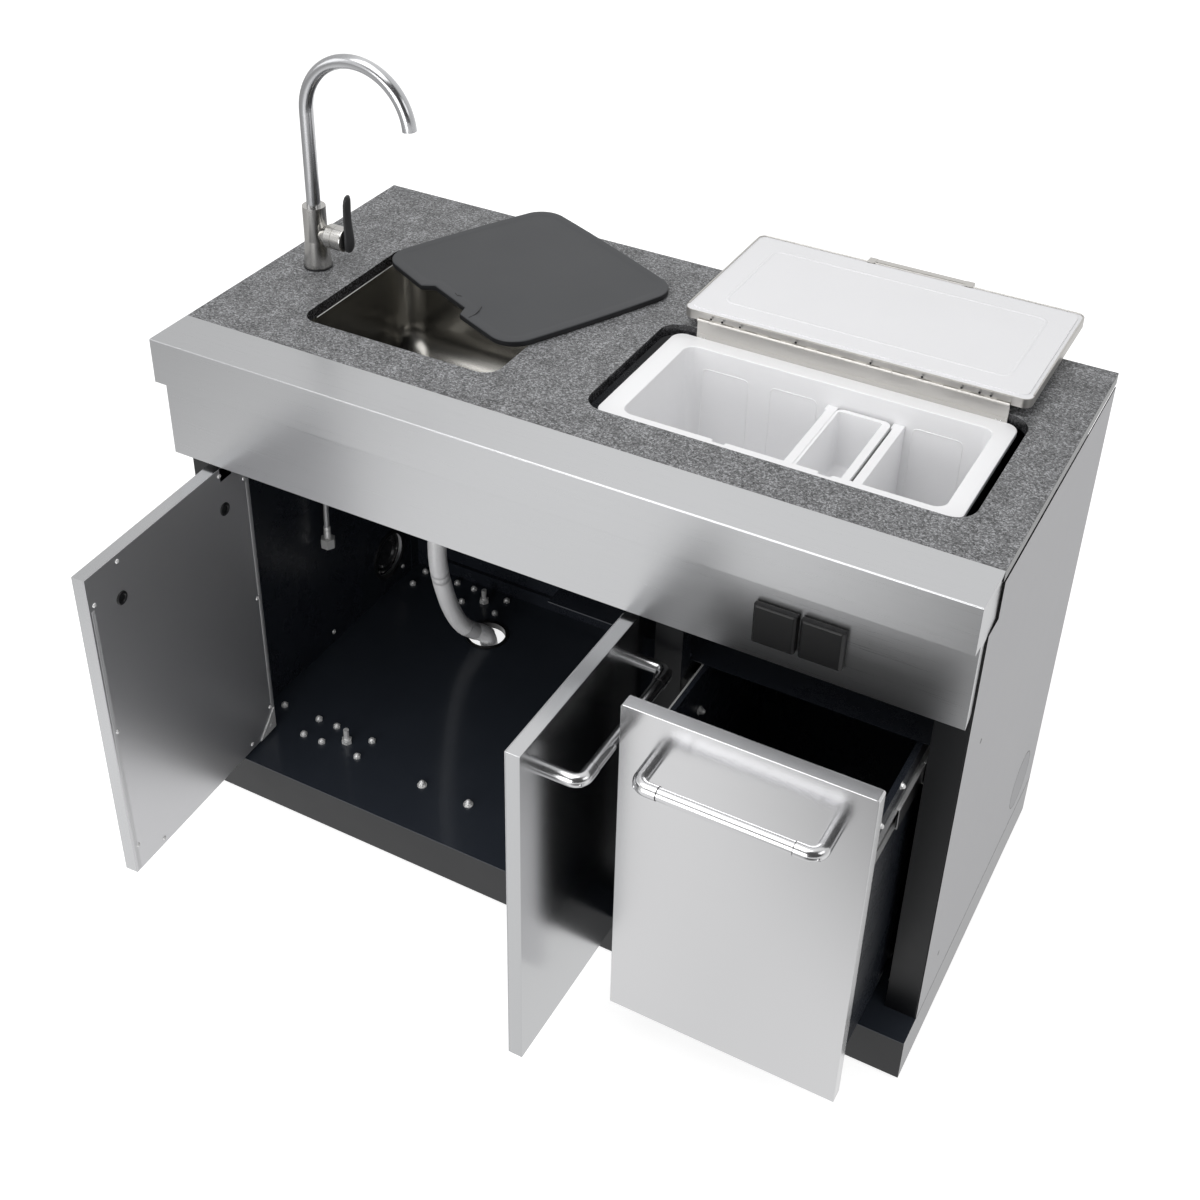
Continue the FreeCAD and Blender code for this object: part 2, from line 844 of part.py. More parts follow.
def front_frame():
    plate_back = s.stile_front + s.sheet
    return_back = plate_back + s.stile_return
    stiles = []
    for low, high in (
        (s.sheet, s.left_stile_edge),
        (centre_stile_edge, partition_left),
        (right_stile_edge, s.cabinet_width - s.sheet),
    ):
        stiles.append(box((low, s.stile_front, floor_top), (high, plate_back, s.upper_fascia_bottom)))
        stiles.append(box((low, plate_back, floor_top), (low + s.sheet, return_back, s.fascia_end_bottom)))
        stiles.append(box((high - s.sheet, plate_back, floor_top), (high, return_back, s.fascia_end_bottom)))
    rail_top = s.rail_bottom + s.rail_height
    rails = []
    for low, high in ((s.left_stile_edge, centre_stile_edge), (partition_right, right_stile_edge)):
        rails.append(box((low, s.stile_front, s.rail_bottom), (high, plate_back, rail_top)))
        rails.append(box((low, plate_back, s.rail_bottom),
                         (high, plate_back + s.rail_depth, s.rail_bottom + s.sheet)))
    partition_edge = box((partition_left, s.stile_front, floor_top),
                         (partition_right, plate_back, s.upper_fascia_bottom))
    pins = [
        cylinder((x, pivot_y, s.rail_bottom), s.pivot_radius + s.pivot_fit, s.sheet)
        for x in (left_pivot_x, right_pivot_x)
    ]
    sub_part("front_frame", cut(fuse(*stiles, *rails, partition_edge), *pins))


def fascia_pieces():
    outer = block((0, 0, s.upper_fascia_bottom), (s.cabinet_width, s.slab_front, s.slab_top),
                  (is_front_top, s.fascia_round))
    hollow = block(
        (s.sheet, s.sheet, s.upper_fascia_bottom - s.sheet),
        (s.cabinet_width - s.sheet, s.slab_front + s.sheet, s.slab_top - s.sheet),
        (is_front_top, s.fascia_round - s.sheet))
    lip = box((s.sheet, s.sheet, s.upper_fascia_bottom),
              (s.cabinet_width - s.sheet, s.lower_fascia_front, s.upper_fascia_bottom + s.sheet))
    end = box((0, s.lower_fascia_front + s.sheet, s.fascia_end_bottom),
              (s.sheet, s.fascia_end_back, s.panel_top))
    ends = both_sides([end])
    sub_part("upper_fascia", fuse(cut(outer, hollow), lip, *ends))

    front = s.lower_fascia_front
    face = box((0, front, s.lower_fascia_bottom), (s.cabinet_width, front + s.sheet, s.upper_fascia_bottom))
    side = box((0, front + s.sheet, s.lower_fascia_bottom), (s.sheet, s.body_front, s.fascia_end_bottom))
    foot = box((s.sheet, front + s.sheet, s.lower_fascia_bottom),
               (s.cabinet_width - s.sheet, s.stile_front, s.lower_fascia_bottom + s.sheet))
    margin = (s.outlet_side - s.outlet_box_side) / 2
    holes = []
    for from_right in (s.left_outlet_from_right, s.right_outlet_from_right):
        left = s.cabinet_width - from_right
        low = (left + margin, front, s.outlet_bottom + margin)
        holes.append(box(low, (low[0] + s.outlet_box_side, front + s.sheet, low[2] + s.outlet_box_side)))
    sub_part("lower_fascia", cut(fuse(face, foot, *both_sides([side])), *holes))


def outlet_pieces():
    """Two sockets in boxes behind the fascia, each under a sprung weather cover."""
    front = s.lower_fascia_front
    margin = (s.outlet_side - s.outlet_box_side) / 2
    sockets = []
    for name, from_right in (("left", s.left_outlet_from_right), ("right", s.right_outlet_from_right)):
        left = s.cabinet_width - from_right
        low_x = left + margin
        low_z = s.outlet_bottom + margin
        behind = front + s.sheet
        flange = box(
            (low_x - s.outlet_flange, behind, low_z - s.outlet_flange),
            (low_x + s.outlet_box_side + s.outlet_flange, behind + s.outlet_wall,
             low_z + s.outlet_box_side + s.outlet_flange))
        case = box((low_x + s.outlet_gap, front, low_z + s.outlet_gap),
                   (low_x + s.outlet_box_side - s.outlet_gap, behind + s.outlet_box_depth,
                    low_z + s.outlet_box_side - s.outlet_gap))
        middle_x = left + s.outlet_side / 2
        middle_z = s.outlet_bottom + s.outlet_side / 2
        socket = cylinder((middle_x, front, middle_z), s.outlet_socket_radius, s.outlet_depth, "y")
        sockets.append(cut(fuse(flange, case), socket))

        # the cover turns about a line just inside its rounded top rear edge
        depth = s.outlet_depth - s.outlet_gap
        side = s.outlet_side
        hinge_round = 2 * s.outlet_wall
        low = (-side / 2, -depth + hinge_round, hinge_round - side)
        high = (side / 2, hinge_round, hinge_round)
        body = new_body(low)
        sketch = new_sketch(body, "XY_Plane")
        polygon(sketch, [
            (0, s.outlet_chamfer), (s.outlet_chamfer, 0), (side - s.outlet_chamfer, 0),
            (side, s.outlet_chamfer), (side, depth), (0, depth),
        ])
        feature = pad(body, sketch, side)
        feature = round_edges(
            body, feature,
            lambda e: e.BoundBox.YMin > depth.number - 1e-6 and e.BoundBox.ZMin > side.number - 1e-6
            and e.BoundBox.XLength > 1,
            hinge_round - s.outlet_gap)
        names = [
            f"Edge{i + 1}" for i, e in enumerate(feature.Shape.Edges)
            if e.BoundBox.YMax < 1e-6 and e.BoundBox.XLength > 1
        ]
        chamfer = body.newObject("PartDesign::Chamfer", "Bevel")
        chamfer.Base = (feature, names)
        chamfer.setExpression("Size", (s.outlet_chamfer / 2).text)
        doc.recompute()
        inside = box(
            (low[0] + s.outlet_wall, low[1] + s.outlet_chamfer + s.outlet_wall, low[2] + s.outlet_wall),
            (high[0] - s.outlet_wall, high[1], high[2] - 2 * hinge_round))
        hinge_point = (middle_x, front - s.outlet_gap - hinge_round, s.outlet_bottom + side - hinge_round)
        sub_part(f"{name}_outlet_cover", cut(body, inside), shift=hinge_point)
    sub_part("outlet_boxes", *sockets)


# Stone top, sink and its cover

def slab():
    stone = box((0, s.slab_front, slab_bottom), (s.cabinet_width, slab_back, s.slab_top))
    sink_hole = block(
        (s.sink_left, s.sink_front, slab_bottom),
        (s.sink_left + s.sink_length, s.sink_front + s.sink_depth, s.slab_top),
        (is_upright, s.sink_corner))
    cooler_hole = block(
        (rim_left - s.cooler_gap_left, s.cooler_front - s.cooler_gap_front, slab_bottom),
        (rim_right + s.cooler_gap_right, rim_back + s.cooler_gap_back, s.slab_top),
        (is_upright, s.slab_corner))
    faucet_hole = cylinder((faucet_x, faucet_y, slab_bottom), s.shank_hole_radius, s.slab_thickness)
    sub_part("countertop", cut(stone, sink_hole, cooler_hole, faucet_hole))


def sink_pieces():
    low_x = s.sink_left - s.sink_reveal
    high_x = s.sink_left + s.sink_length + s.sink_reveal
    low_y = s.sink_front - s.sink_reveal
    high_y = s.sink_front + s.sink_depth + s.sink_reveal
    wall = s.thin_sheet
    outer = block(
        (low_x - wall, low_y - wall, s.sink_bottom - wall),
        (high_x + wall, high_y + wall, slab_bottom),
        (is_upright, s.sink_corner + wall), (is_at_foot, s.sink_foot_round + wall))
    flange = block(
        (low_x - s.sink_flange, low_y - s.sink_flange, slab_bottom - wall),
        (high_x + s.sink_flange, high_y + s.sink_flange, slab_bottom),
        (is_upright, s.sink_corner + s.sink_flange))
    hollow = block(
        (low_x, low_y, s.sink_bottom), (high_x, high_y, slab_bottom + wall),
        (is_upright, s.sink_corner), (is_at_foot, s.sink_foot_round))
    drain = cylinder((drain_x, drain_y, s.sink_bottom - 2 * wall), s.drain_hole_radius, 3 * wall)
    sub_part("sink_bowl", cut(fuse(outer, flange), hollow, drain))

    cup = s.drain_hole_radius - s.shank_fit
    cup_floor = s.sink_bottom - s.strainer_cup_depth
    tail_bore = s.tail_radius - s.tail_wall
    strainer = revolved((drain_x, drain_y, 0), [
        (tail_bore, s.strainer_bottom),
        (s.tail_radius, s.strainer_bottom),
        (s.tail_radius, cup_floor - s.sheet),
        (cup, cup_floor - s.sheet),
        (cup, s.sink_bottom),
        (s.strainer_flange_radius, s.sink_bottom),
        (s.strainer_flange_radius, s.sink_bottom + s.thin_sheet),
        (cup - s.sheet, s.sink_bottom + s.thin_sheet),
        (cup - s.sheet, cup_floor),
        (tail_bore, cup_floor),
    ])
    sub_part("sink_strainer", strainer)


def cover_piece():
    """The sink cover lies askew on the stone, its finger notch on the long front side."""
    half_length = s.cover_length / 2
    half_width = s.cover_width / 2
    bulge = s.cover_bulge
    body = new_body((0, 0, 0))
    sketch = new_sketch(body, "XY_Plane")
    corners = [
        (-half_length.number + bulge.number, -half_width.number + bulge.number),
        (half_length.number - bulge.number, -half_width.number + bulge.number),
        (half_length.number - bulge.number, half_width.number - bulge.number),
        (-half_length.number + bulge.number, half_width.number - bulge.number),
    ]
    middles = [
        (0, -half_width.number), (half_length.number, 0), (0, half_width.number), (-half_length.number, 0),
    ]
    for step, middle in enumerate(middles):
        ends = [FreeCAD.Vector(*corners[step], 0), FreeCAD.Vector(*corners[(step + 1) % 4], 0)]
        sketch.addGeometry(Part.Arc(ends[0], FreeCAD.Vector(*middle, 0), ends[1]), False)
    doc.recompute()
    feature = pad(body, sketch, s.cover_thickness)
    round_edges(body, feature, is_upright, s.cover_corner)
    notch = new_body((0, -half_width - bulge, 0))
    outline = new_sketch(notch, "XY_Plane")
    mouth = s.cover_notch_width / 2
    inner = mouth - s.cover_notch_slant
    depth = bulge + s.cover_notch_depth
    polygon(outline, [
        (-mouth, 0), (mouth, 0), (mouth, bulge), (inner, depth), (-inner, depth), (-mouth, bulge),
    ])
    pad(notch, outline, s.cover_thickness)
    shape = cut(body, notch)
    middle = (rim_left - s.cover_before_rim, s.cover_middle_y, s.slab_top)
    placed = moved(shape, middle, FreeCAD.Vector(0, 0, -1), s.cover_turn)
    sub_part("sink_cover", placed)


# Faucet

def faucet_pieces():
    seat = s.slab_top + s.faucet_ring_height
    ring = revolved((faucet_x, faucet_y, 0), [
        (s.shank_radius + s.shank_fit, s.slab_top),
        (s.faucet_ring_radius, s.slab_top),
        (s.faucet_ring_radius, seat),
        (s.shank_radius + s.shank_fit, seat),
    ])
    nut_foot = (faucet_x, faucet_y, slab_bottom - s.shank_nut_height)
    nut = cut(
        hexagon(nut_foot, s.shank_nut_across, s.shank_nut_height),
        cylinder(nut_foot, s.shank_radius + s.shank_fit, s.shank_nut_height))
    sub_part("faucet_ring_and_nut", ring, nut)

    bore = s.spout_radius + s.spout_fit
    body = revolved((faucet_x, faucet_y, 0), [
        (0, s.shank_bottom),
        (s.shank_radius, s.shank_bottom),
        (s.shank_radius, seat),
        (s.faucet_base_radius, seat),
        (s.faucet_base_radius, seat + s.faucet_foot_height),
        (s.faucet_body_radius, s.faucet_waist_level),
        (s.faucet_body_radius, s.faucet_body_top),
        (bore, s.faucet_body_top),
        (bore, s.spout_seat_level),
        (0, s.spout_seat_level),
    ])
    stub = primitive("Part::Cone", (faucet_x, faucet_y, s.valve_level), "x",
                     Radius1=s.valve_root_radius, Radius2=s.valve_radius, Height=s.valve_reach)
    sub_part("faucet_body", fuse(body, stub))

    cap_start = faucet_x + s.valve_reach + s.valve_joint_gap
    cap = cylinder((cap_start, faucet_y, s.valve_level), s.valve_cap_radius, s.valve_cap_length, "x")
    lever_start = cap_start + s.valve_cap_length
    lever_body = new_body((lever_start, faucet_y, s.lever_bottom))
    sketch = new_sketch(lever_body, "YZ_Plane")
    height = s.lever_top - s.lever_bottom
    low = s.lever_low_width / 2
    high = s.lever_high_width / 2
    polygon(sketch, [(-low, 0), (low, 0), (high, height), (-high, height)])
    feature = pad(lever_body, sketch, s.lever_thickness)
    round_edges(lever_body, feature, lambda e: e.BoundBox.XLength > 1, s.lever_high_width / 4)
    sub_part("faucet_lever", cap, lever_body)


def spout_piece():
    """A tube that runs straight up and over in an arc that stops a little short of a half circle."""
    body = new_body((faucet_x, faucet_y, s.spout_seat_level))
    path = new_sketch(body, "XZ_Plane")
    rise = (s.spout_straight_top - s.spout_seat_level).number
    bend = s.spout_bend.number
    end = s.spout_end_above_centre.number
    centre = FreeCAD.Vector(bend, rise, 0)
    path.addGeometry(Part.LineSegment(FreeCAD.Vector(0, 0, 0), FreeCAD.Vector(0, rise, 0)), False)
    whole = Part.Circle(centre, FreeCAD.Vector(0, 0, 1), bend)
    path.addGeometry(Part.ArcOfCircle(whole, math.asin(end / bend), math.pi), False)
    join = Sketcher.Constraint
    path.addConstraint(join("Coincident", 0, 1, -1, 1))
    path.addConstraint(join("Vertical", 0))
    path.addConstraint(join("Tangent", 0, 2, 1, 2))
    for kind, index, number, value in (
        ("Distance", 0, rise, s.spout_straight_top - s.spout_seat_level),
        ("Radius", 1, bend, s.spout_bend),
    ):
        held = path.addConstraint(join(kind, index, number))
        path.setExpression(f"Constraints[{held}]", value.text)
    held = path.addConstraint(join("DistanceY", 1, 3, 1, 1, end))
    path.setExpression(f"Constraints[{held}]", s.spout_end_above_centre.text)
    ring = new_sketch(body, "XY_Plane")
    circle(ring, 0, 0, s.spout_radius)
    circle(ring, 0, 0, s.spout_bore)
    doc.recompute()
    pipe = body.newObject("PartDesign::AdditivePipe", "Spout")
    pipe.Profile = ring
    pipe.Spine = (path, ["Edge1", "Edge2"])
    doc.recompute()
    sub_part("spout", body)


# Hoses: the ribs' valleys and crests are shares of one rib's pitch

RIB_START = 0.15
RIB_STEPS = (0, 0.25, 0.45, 0.8)
BORE_STEPS = 40
ARC_SHARE = 0.45

SUPPLY_ROUTE = [
    (73, 329, 862), (73, 329, 800), (72, 328, 735), (69, 327.4, 670), (64, 327, 605),
    (58, 327.6, 540), (52.4, 328.3, 475), (45.5, 328.1, 412), (45.5, 328.1, 349),
]

DRAIN_ROUTE = [
    (329, 314.5, 690), (329, 314.5, 625), (310, 319, 562), (297, 323, 505), (284, 330, 432),
    (273.5, 347, 356), (264, 376, 283), (255.5, 408, 214), (253.5, 437, 160), (259, 463, 123),
    (270, 493, 101), (276, 508, 79), (277, 512, 36),
]


def rounded_route(points):
    """A wire of straight runs joined by tangent arcs, each as large as its runs allow."""
    corners = [FreeCAD.Vector(*point) for point in points]
    start = corners[0]
    edges = []
    radii = []
    for before, here, after in zip(corners, corners[1:], corners[2:]):
        back = (before - here).normalize()
        ahead = (after - here).normalize()
        turn = math.pi - back.getAngle(ahead)
        run = ARC_SHARE * min((here - before).Length, (after - here).Length)
        radius = run / math.tan(turn / 2)
        enter = here + back * run
        leave = here + ahead * run
        bisector = (back + ahead).normalize()
        sag = radius / math.cos(turn / 2) - radius
        edges.append(Part.LineSegment(start, enter).toShape())
        edges.append(Part.Arc(enter, here + bisector * sag, leave).toShape())
        start = leave
        radii.append(round(radius))
    edges.append(Part.LineSegment(start, corners[-1]).toShape())
    return Part.Wire(edges), radii


def ring_at(point, direction, radius):
    """A circle square to the hose, its start always on the same side of the hose."""
    across = FreeCAD.Vector(1, 0, 0)
    across = (across - direction * across.dot(direction)).normalize()
    round_edge = Part.Circle(point, direction, radius)
    round_edge.XAxis = across
    return Part.Wire([round_edge.toShape()])


def along_wire(wire, distance):
    """The point and direction at a distance along the route."""
    left = distance
    for edge in wire.OrderedEdges:
        if left <= edge.Length:
            where = edge.getParameterByLength(left)
            return edge.valueAt(where), edge.tangentAt(where).normalize()
        left -= edge.Length
    last = wire.OrderedEdges[-1]
    return last.valueAt(last.LastParameter), last.tangentAt(last.LastParameter).normalize()


def shaped(shape):
    item = doc.addObject("Part::Feature", "Hose")
    item.Shape = shape
    return item


def supply_hose():
    wire, radii = rounded_route(SUPPLY_ROUTE)
    start, heading = along_wire(wire, 0)
    radius = s.supply_hose_radius.number
    tube = wire.makePipeShell([ring_at(start, heading, radius)], True, True)
    expected = math.pi * radius ** 2 * wire.Length
    print("supply hose radii", radii, "length", round(wire.Length), "volume ratio",
          round(tube.Volume / expected, 4))
    sub_part("supply_hose", shaped(tube))

    end, heading = along_wire(wire, wire.Length)
    turn = FreeCAD.Rotation(UP, heading)
    across = s.supply_nut_across.number / math.sqrt(3)
    six = [FreeCAD.Vector(across * math.cos(math.pi * k / 3), across * math.sin(math.pi * k / 3), 0)
           for k in range(7)]
    nut = Part.Face(Part.makePolygon(six)).extrude(UP * s.supply_nut_height.number)
    mouth_depth = s.supply_nut_bore_depth.number
    mouth = Part.makeCylinder(
        s.supply_nut_bore.number, mouth_depth, UP * (s.supply_nut_height.number - mouth_depth))
    nut = nut.cut(mouth)
    nut.Placement = FreeCAD.Placement(end, turn)
    sub_part("supply_nut", shaped(nut))


def drain_hose():
    """A ribbed hose from the strainer's tail into the floor drain, hollow all the way."""
    wire, radii = rounded_route(DRAIN_ROUTE)
    length = wire.Length
    radius = s.drain_hose_radius.number
    low = radius - s.drain_rib_depth.number
    pitch = s.drain_rib_pitch.number
    cuff = s.drain_cuff_length.number
    rings = [(0.0, radius), (cuff, radius)]
    count = int((length - 2 * cuff) / pitch)
    begin = cuff + RIB_START * pitch
    for rib in range(count):
        at = begin + rib * pitch
        rings += [(at + share * pitch, size) for share, size in zip(RIB_STEPS, (low, low, radius, radius))]
    rings += [(length - cuff, radius), (length, radius)]
    outer = Part.makeLoft([ring_at(*along_wire(wire, at), size) for at, size in rings], True, True)
    bore_steps = [index * length / BORE_STEPS for index in range(BORE_STEPS + 1)]
    bore = s.drain_hose_bore.number
    inner = Part.makeLoft([ring_at(*along_wire(wire, at), bore) for at in bore_steps], True, True)
    hose = outer.cut(inner)
    print("drain hose radii", radii, "length", round(length), "ribs", count, "valid", hose.isValid())
    sub_part("drain_hose", shaped(hose))


def port_rings():
    """Flanged rings at the floor drain and at the hose port in the left wall."""
    drain_inner = s.floor_drain_radius
    skirt = drain_inner + s.floor_drain_wall
    floor_ring = revolved((s.floor_drain_x, s.floor_drain_y, 0), [
        (drain_inner, s.plinth_top - s.floor_drain_skirt),
        (skirt, s.plinth_top - s.floor_drain_skirt),
        (skirt, floor_top),
        (drain_inner + s.floor_drain_flange, floor_top),
        (drain_inner + s.floor_drain_flange, floor_top + s.ring_height),
        (drain_inner, floor_top + s.ring_height),
    ])
    port = (liner_face, s.port_from_front, s.port_level)
    wall_ring = cut(
        cylinder(port, s.port_radius + s.port_flange, s.ring_height, "x"),
        cylinder(port, s.port_radius, s.ring_height, "x"))
    sub_part("port_rings", floor_ring, wall_ring)


# Cooler

def cooler_pieces():
    rim = block((rim_left, s.cooler_front, rim_bottom), (rim_right, rim_back, s.cooler_rim_top),
                (is_upright, s.cooler_corner))
    wall = s.tub_wall
    outer = block(
        (well_left - wall, well_front - wall, s.well_bottom - wall),
        (well_right + wall, well_back + wall, s.cooler_rim_top - wall),
        (is_upright, s.well_corner + wall), (is_at_foot, s.well_foot_round + wall))
    inner = block(
        (well_left, well_front, s.well_bottom), (well_right, well_back, s.cooler_rim_top + wall),
        (is_upright, s.well_corner), (is_at_foot, s.well_foot_round))
    notches = [
        box((x, well_front - s.rim_notch_depth, s.cooler_rim_top - s.rim_notch_height),
            (x + s.rim_notch_length, well_front, s.cooler_rim_top))
        for x in (rim_left + s.first_rim_notch, rim_left + s.second_rim_notch)
    ]
    ledges = [
        box((pan_left + s.pan_ledge_inset, low, pan_bottom - s.pan_ledge_height),
            (pan_right - s.pan_grip, high, pan_bottom))
        for low, high in (
            (well_front - s.weld, well_front + s.pan_ledge),
            (well_back - s.pan_ledge, well_back + s.weld))
    ]
    tub = fuse(cut(fuse(rim, outer), inner, *notches), *ledges)
    sub_part("cooler_tub", tub)

    shell = block(
        (rim_left + s.shell_inset, s.cooler_front + s.shell_inset / 2, s.shelf_top),
        (rim_right - s.shell_inset, rim_back - s.shell_inset / 2, rim_bottom),
        (is_upright, s.cooler_corner - s.shell_inset / 2))
    cavity = block(
        (well_left - wall, well_front - wall, s.well_bottom - wall),
        (well_right + wall, well_back + wall, s.cooler_rim_top),
        (is_upright, s.well_corner + wall), (is_at_foot, s.well_foot_round + wall))
    sub_part("cooler_shell", cut(shell, cavity))

    gap = s.divider_gap
    panel_front = well_front + s.pan_ledge + gap
    for name, from_rim in (("left", s.left_divider_from_rim), ("right", s.right_divider_from_rim)):
        left = rim_left + from_rim
        upper = box((left, well_front + gap, s.well_bottom + s.well_foot_round),
                    (left + s.divider_width, well_back - gap, s.divider_top))
        lower = box((left, panel_front, s.well_bottom),
                    (left + s.divider_width, well_back - s.pan_ledge, s.well_bottom + s.well_foot_round))
        end_left = left + s.divider_width - s.divider_end_width
        end_bottom = s.divider_top - s.divider_end_height
        ends = [
            box((end_left, low, end_bottom), (left + s.divider_width, high, s.divider_top))
            for low, high in (
                (well_front + gap, well_front + s.divider_end_length),
                (well_back - s.divider_end_length, well_back - gap))
        ]
        sub_part(f"cooler_divider_{name}", fuse(upper, lower, *ends))

    rim_plate = block((pan_left, pan_front, s.pan_top - s.pan_rim_height), (pan_right, pan_back, s.pan_top),
                      (is_upright, s.pan_grip))
    basin = block(
        (pan_left + s.divider_gap, pan_front + s.pan_wall, pan_bottom),
        (pan_right - s.pan_grip + s.pan_wall / 2, pan_back - s.pan_wall, s.pan_top - s.weld),
        (is_upright, s.pan_grip / 2))
    inside = block(
        (pan_left + s.pan_wall, pan_front + 2 * s.pan_wall, pan_bottom + s.pan_wall / 2),
        (pan_right - s.pan_grip, pan_back - 2 * s.pan_wall, s.pan_top + s.weld),
        (is_upright, s.pan_grip / 3), (is_at_foot, s.pan_grip / 4))
    sub_part("cooler_pan", cut(fuse(rim_plate, basin), inside))


def hinge_and_lid():
    """A long pinned hinge behind the cooler, and the lid laid right back on it."""
    left = rim_left + s.hinge_rail_inset
    right = rim_right - s.hinge_rail_right_inset
    pitch = (right - left) / DRIVING["knuckle_count"]
    knuckles = []
    for index in range(DRIVING["knuckle_count"]):
        start = left + pitch * index
        knuckles.append(cylinder((start, rim_back, s.hinge_level), s.knuckle_radius,
                                 pitch - s.knuckle_gap, "x"))
    bore = cylinder((left, rim_back, s.hinge_level), s.hinge_pin_radius + s.pivot_fit, right - left, "x")
    pin = cylinder((left, rim_back, s.hinge_level), s.hinge_pin_radius, right - left, "x")
    rail = box((left, rim_back, s.hinge_rail_bottom),
               (right, rim_back + s.sheet, s.hinge_level - s.knuckle_radius + s.weld))
    leaf_front = lid_front - s.thin_sheet
    leaf = box((left, leaf_front, s.lid_leaf_bottom),
               (right, lid_front, s.lid_leaf_bottom + s.lid_leaf_height))
    leaf_gaps = []
    for index in range(0, DRIVING["knuckle_count"], 2):
        start = left + pitch * index
        leaf_gaps.append(box(
            (start - s.knuckle_gap, leaf_front, s.lid_leaf_bottom),
            (start + pitch, lid_front, s.hinge_level + s.knuckle_radius + s.knuckle_gap)))
    rail_gaps = []
    for index in range(1, DRIVING["knuckle_count"], 2):
        start = left + pitch * index
        rail_gaps.append(box(
            (start - s.knuckle_gap, rim_back, s.hinge_level - s.knuckle_radius - s.knuckle_gap),
            (start + pitch, rim_back + s.sheet, s.hinge_level)))
    rail_solid = cut(fuse(cut(rail, *rail_gaps), *knuckles[0::2]), bore)
    leaf_solid = cut(fuse(cut(leaf, *leaf_gaps), *knuckles[1::2]), bore)
    sub_part("cooler_hinge_rail", rail_solid, pin)

    lid_top = s.lid_bottom + s.lid_thickness
    wall = s.thin_sheet
    outer = block((lid_left, lid_front, s.lid_bottom), (lid_right, lid_back, lid_top),
                  (is_upright, s.lid_corner))
    inner = block(
        (lid_left + wall, lid_front + wall, s.lid_bottom + wall),
        (lid_right - wall, lid_back - wall, lid_top + wall),
        (is_upright, s.lid_corner - wall))
    sub_part("lid_shell", cut(outer, inner), leaf_solid)
    liner = block(
        (lid_left + wall, lid_front + wall, s.lid_bottom + wall),
        (lid_right - wall, lid_back - wall, lid_top),
        (is_upright, s.lid_corner - wall))
    inset = s.lid_plug_inset
    plug = block(
        (lid_left + inset, lid_front + inset, lid_top - s.weld),
        (lid_right - inset, lid_back - inset, lid_top + s.lid_plug_height),
        (is_upright, s.lid_corner))
    sub_part("lid_liner", fuse(liner, plug))
    lid_handle(lid_top)


def lid_handle(lid_top):
    """A flat bar along the lid's far edge, on two brackets that hook over the edge."""
    middle = (lid_left + lid_right) / 2 + s.lid_bar_right_of_middle
    half = s.lid_bar_length / 2
    bar = box((middle - half, lid_back + s.lid_bar_gap, s.lid_bar_bottom),
              (middle + half, back_reach, s.lid_bar_bottom + s.lid_bar_thickness))
    brackets = []
    for end in (middle - half, middle + half):
        near = end - s.lid_bracket_width / 2
        far = end + s.lid_bracket_width / 2
        brackets.append(box((near, lid_back, s.lid_bracket_bottom), (far, back_reach, lid_top)))
        brackets.append(box((near, lid_back - s.lid_hook_reach, lid_top),
                            (far, back_reach, lid_top + s.lid_hook_thickness)))
    sub_part("lid_handle", fuse(bar, *brackets))


# Handles, doors and drawer

def handle(spacing, standoff, reach):
    """A bar on two elbows, drawn along x with its posts reaching out to the front."""
    half = spacing / 2
    bend = s.elbow_bend
    bar_start = -half + reach - s.weld
    pieces = [cylinder((bar_start, -standoff, 0), s.bar_radius, -2 * bar_start, "x")]
    for side in (-1, 1):
        centre_x = (half - bend) * side
        post = cylinder((half * side, -(standoff - bend), 0), s.elbow_radius, standoff - bend, "y")
        torus = doc.addObject("Part::Torus", "Elbow")
        torus.setExpression("Radius1", bend.text)
        torus.setExpression("Radius2", s.elbow_radius.text)
        torus.Angle3 = 90
        start = 180 if side < 0 else 270
        torus.Placement = FreeCAD.Placement(FreeCAD.Vector(), FreeCAD.Rotation(UP, start))
        place(torus, (centre_x, -(standoff - bend), 0))
        sleeve_start = -half + bend if side < 0 else half - reach
        sleeve = cylinder((sleeve_start, -standoff, 0), s.elbow_radius, reach - bend, "x")
        pieces += [post, torus, sleeve]
    return fuse(*pieces)


def span(side, near, far):
    """Two ends of a stretch on a door, in rising order for either hand."""
    return (near, far) if side > 0 else (-far, -near)


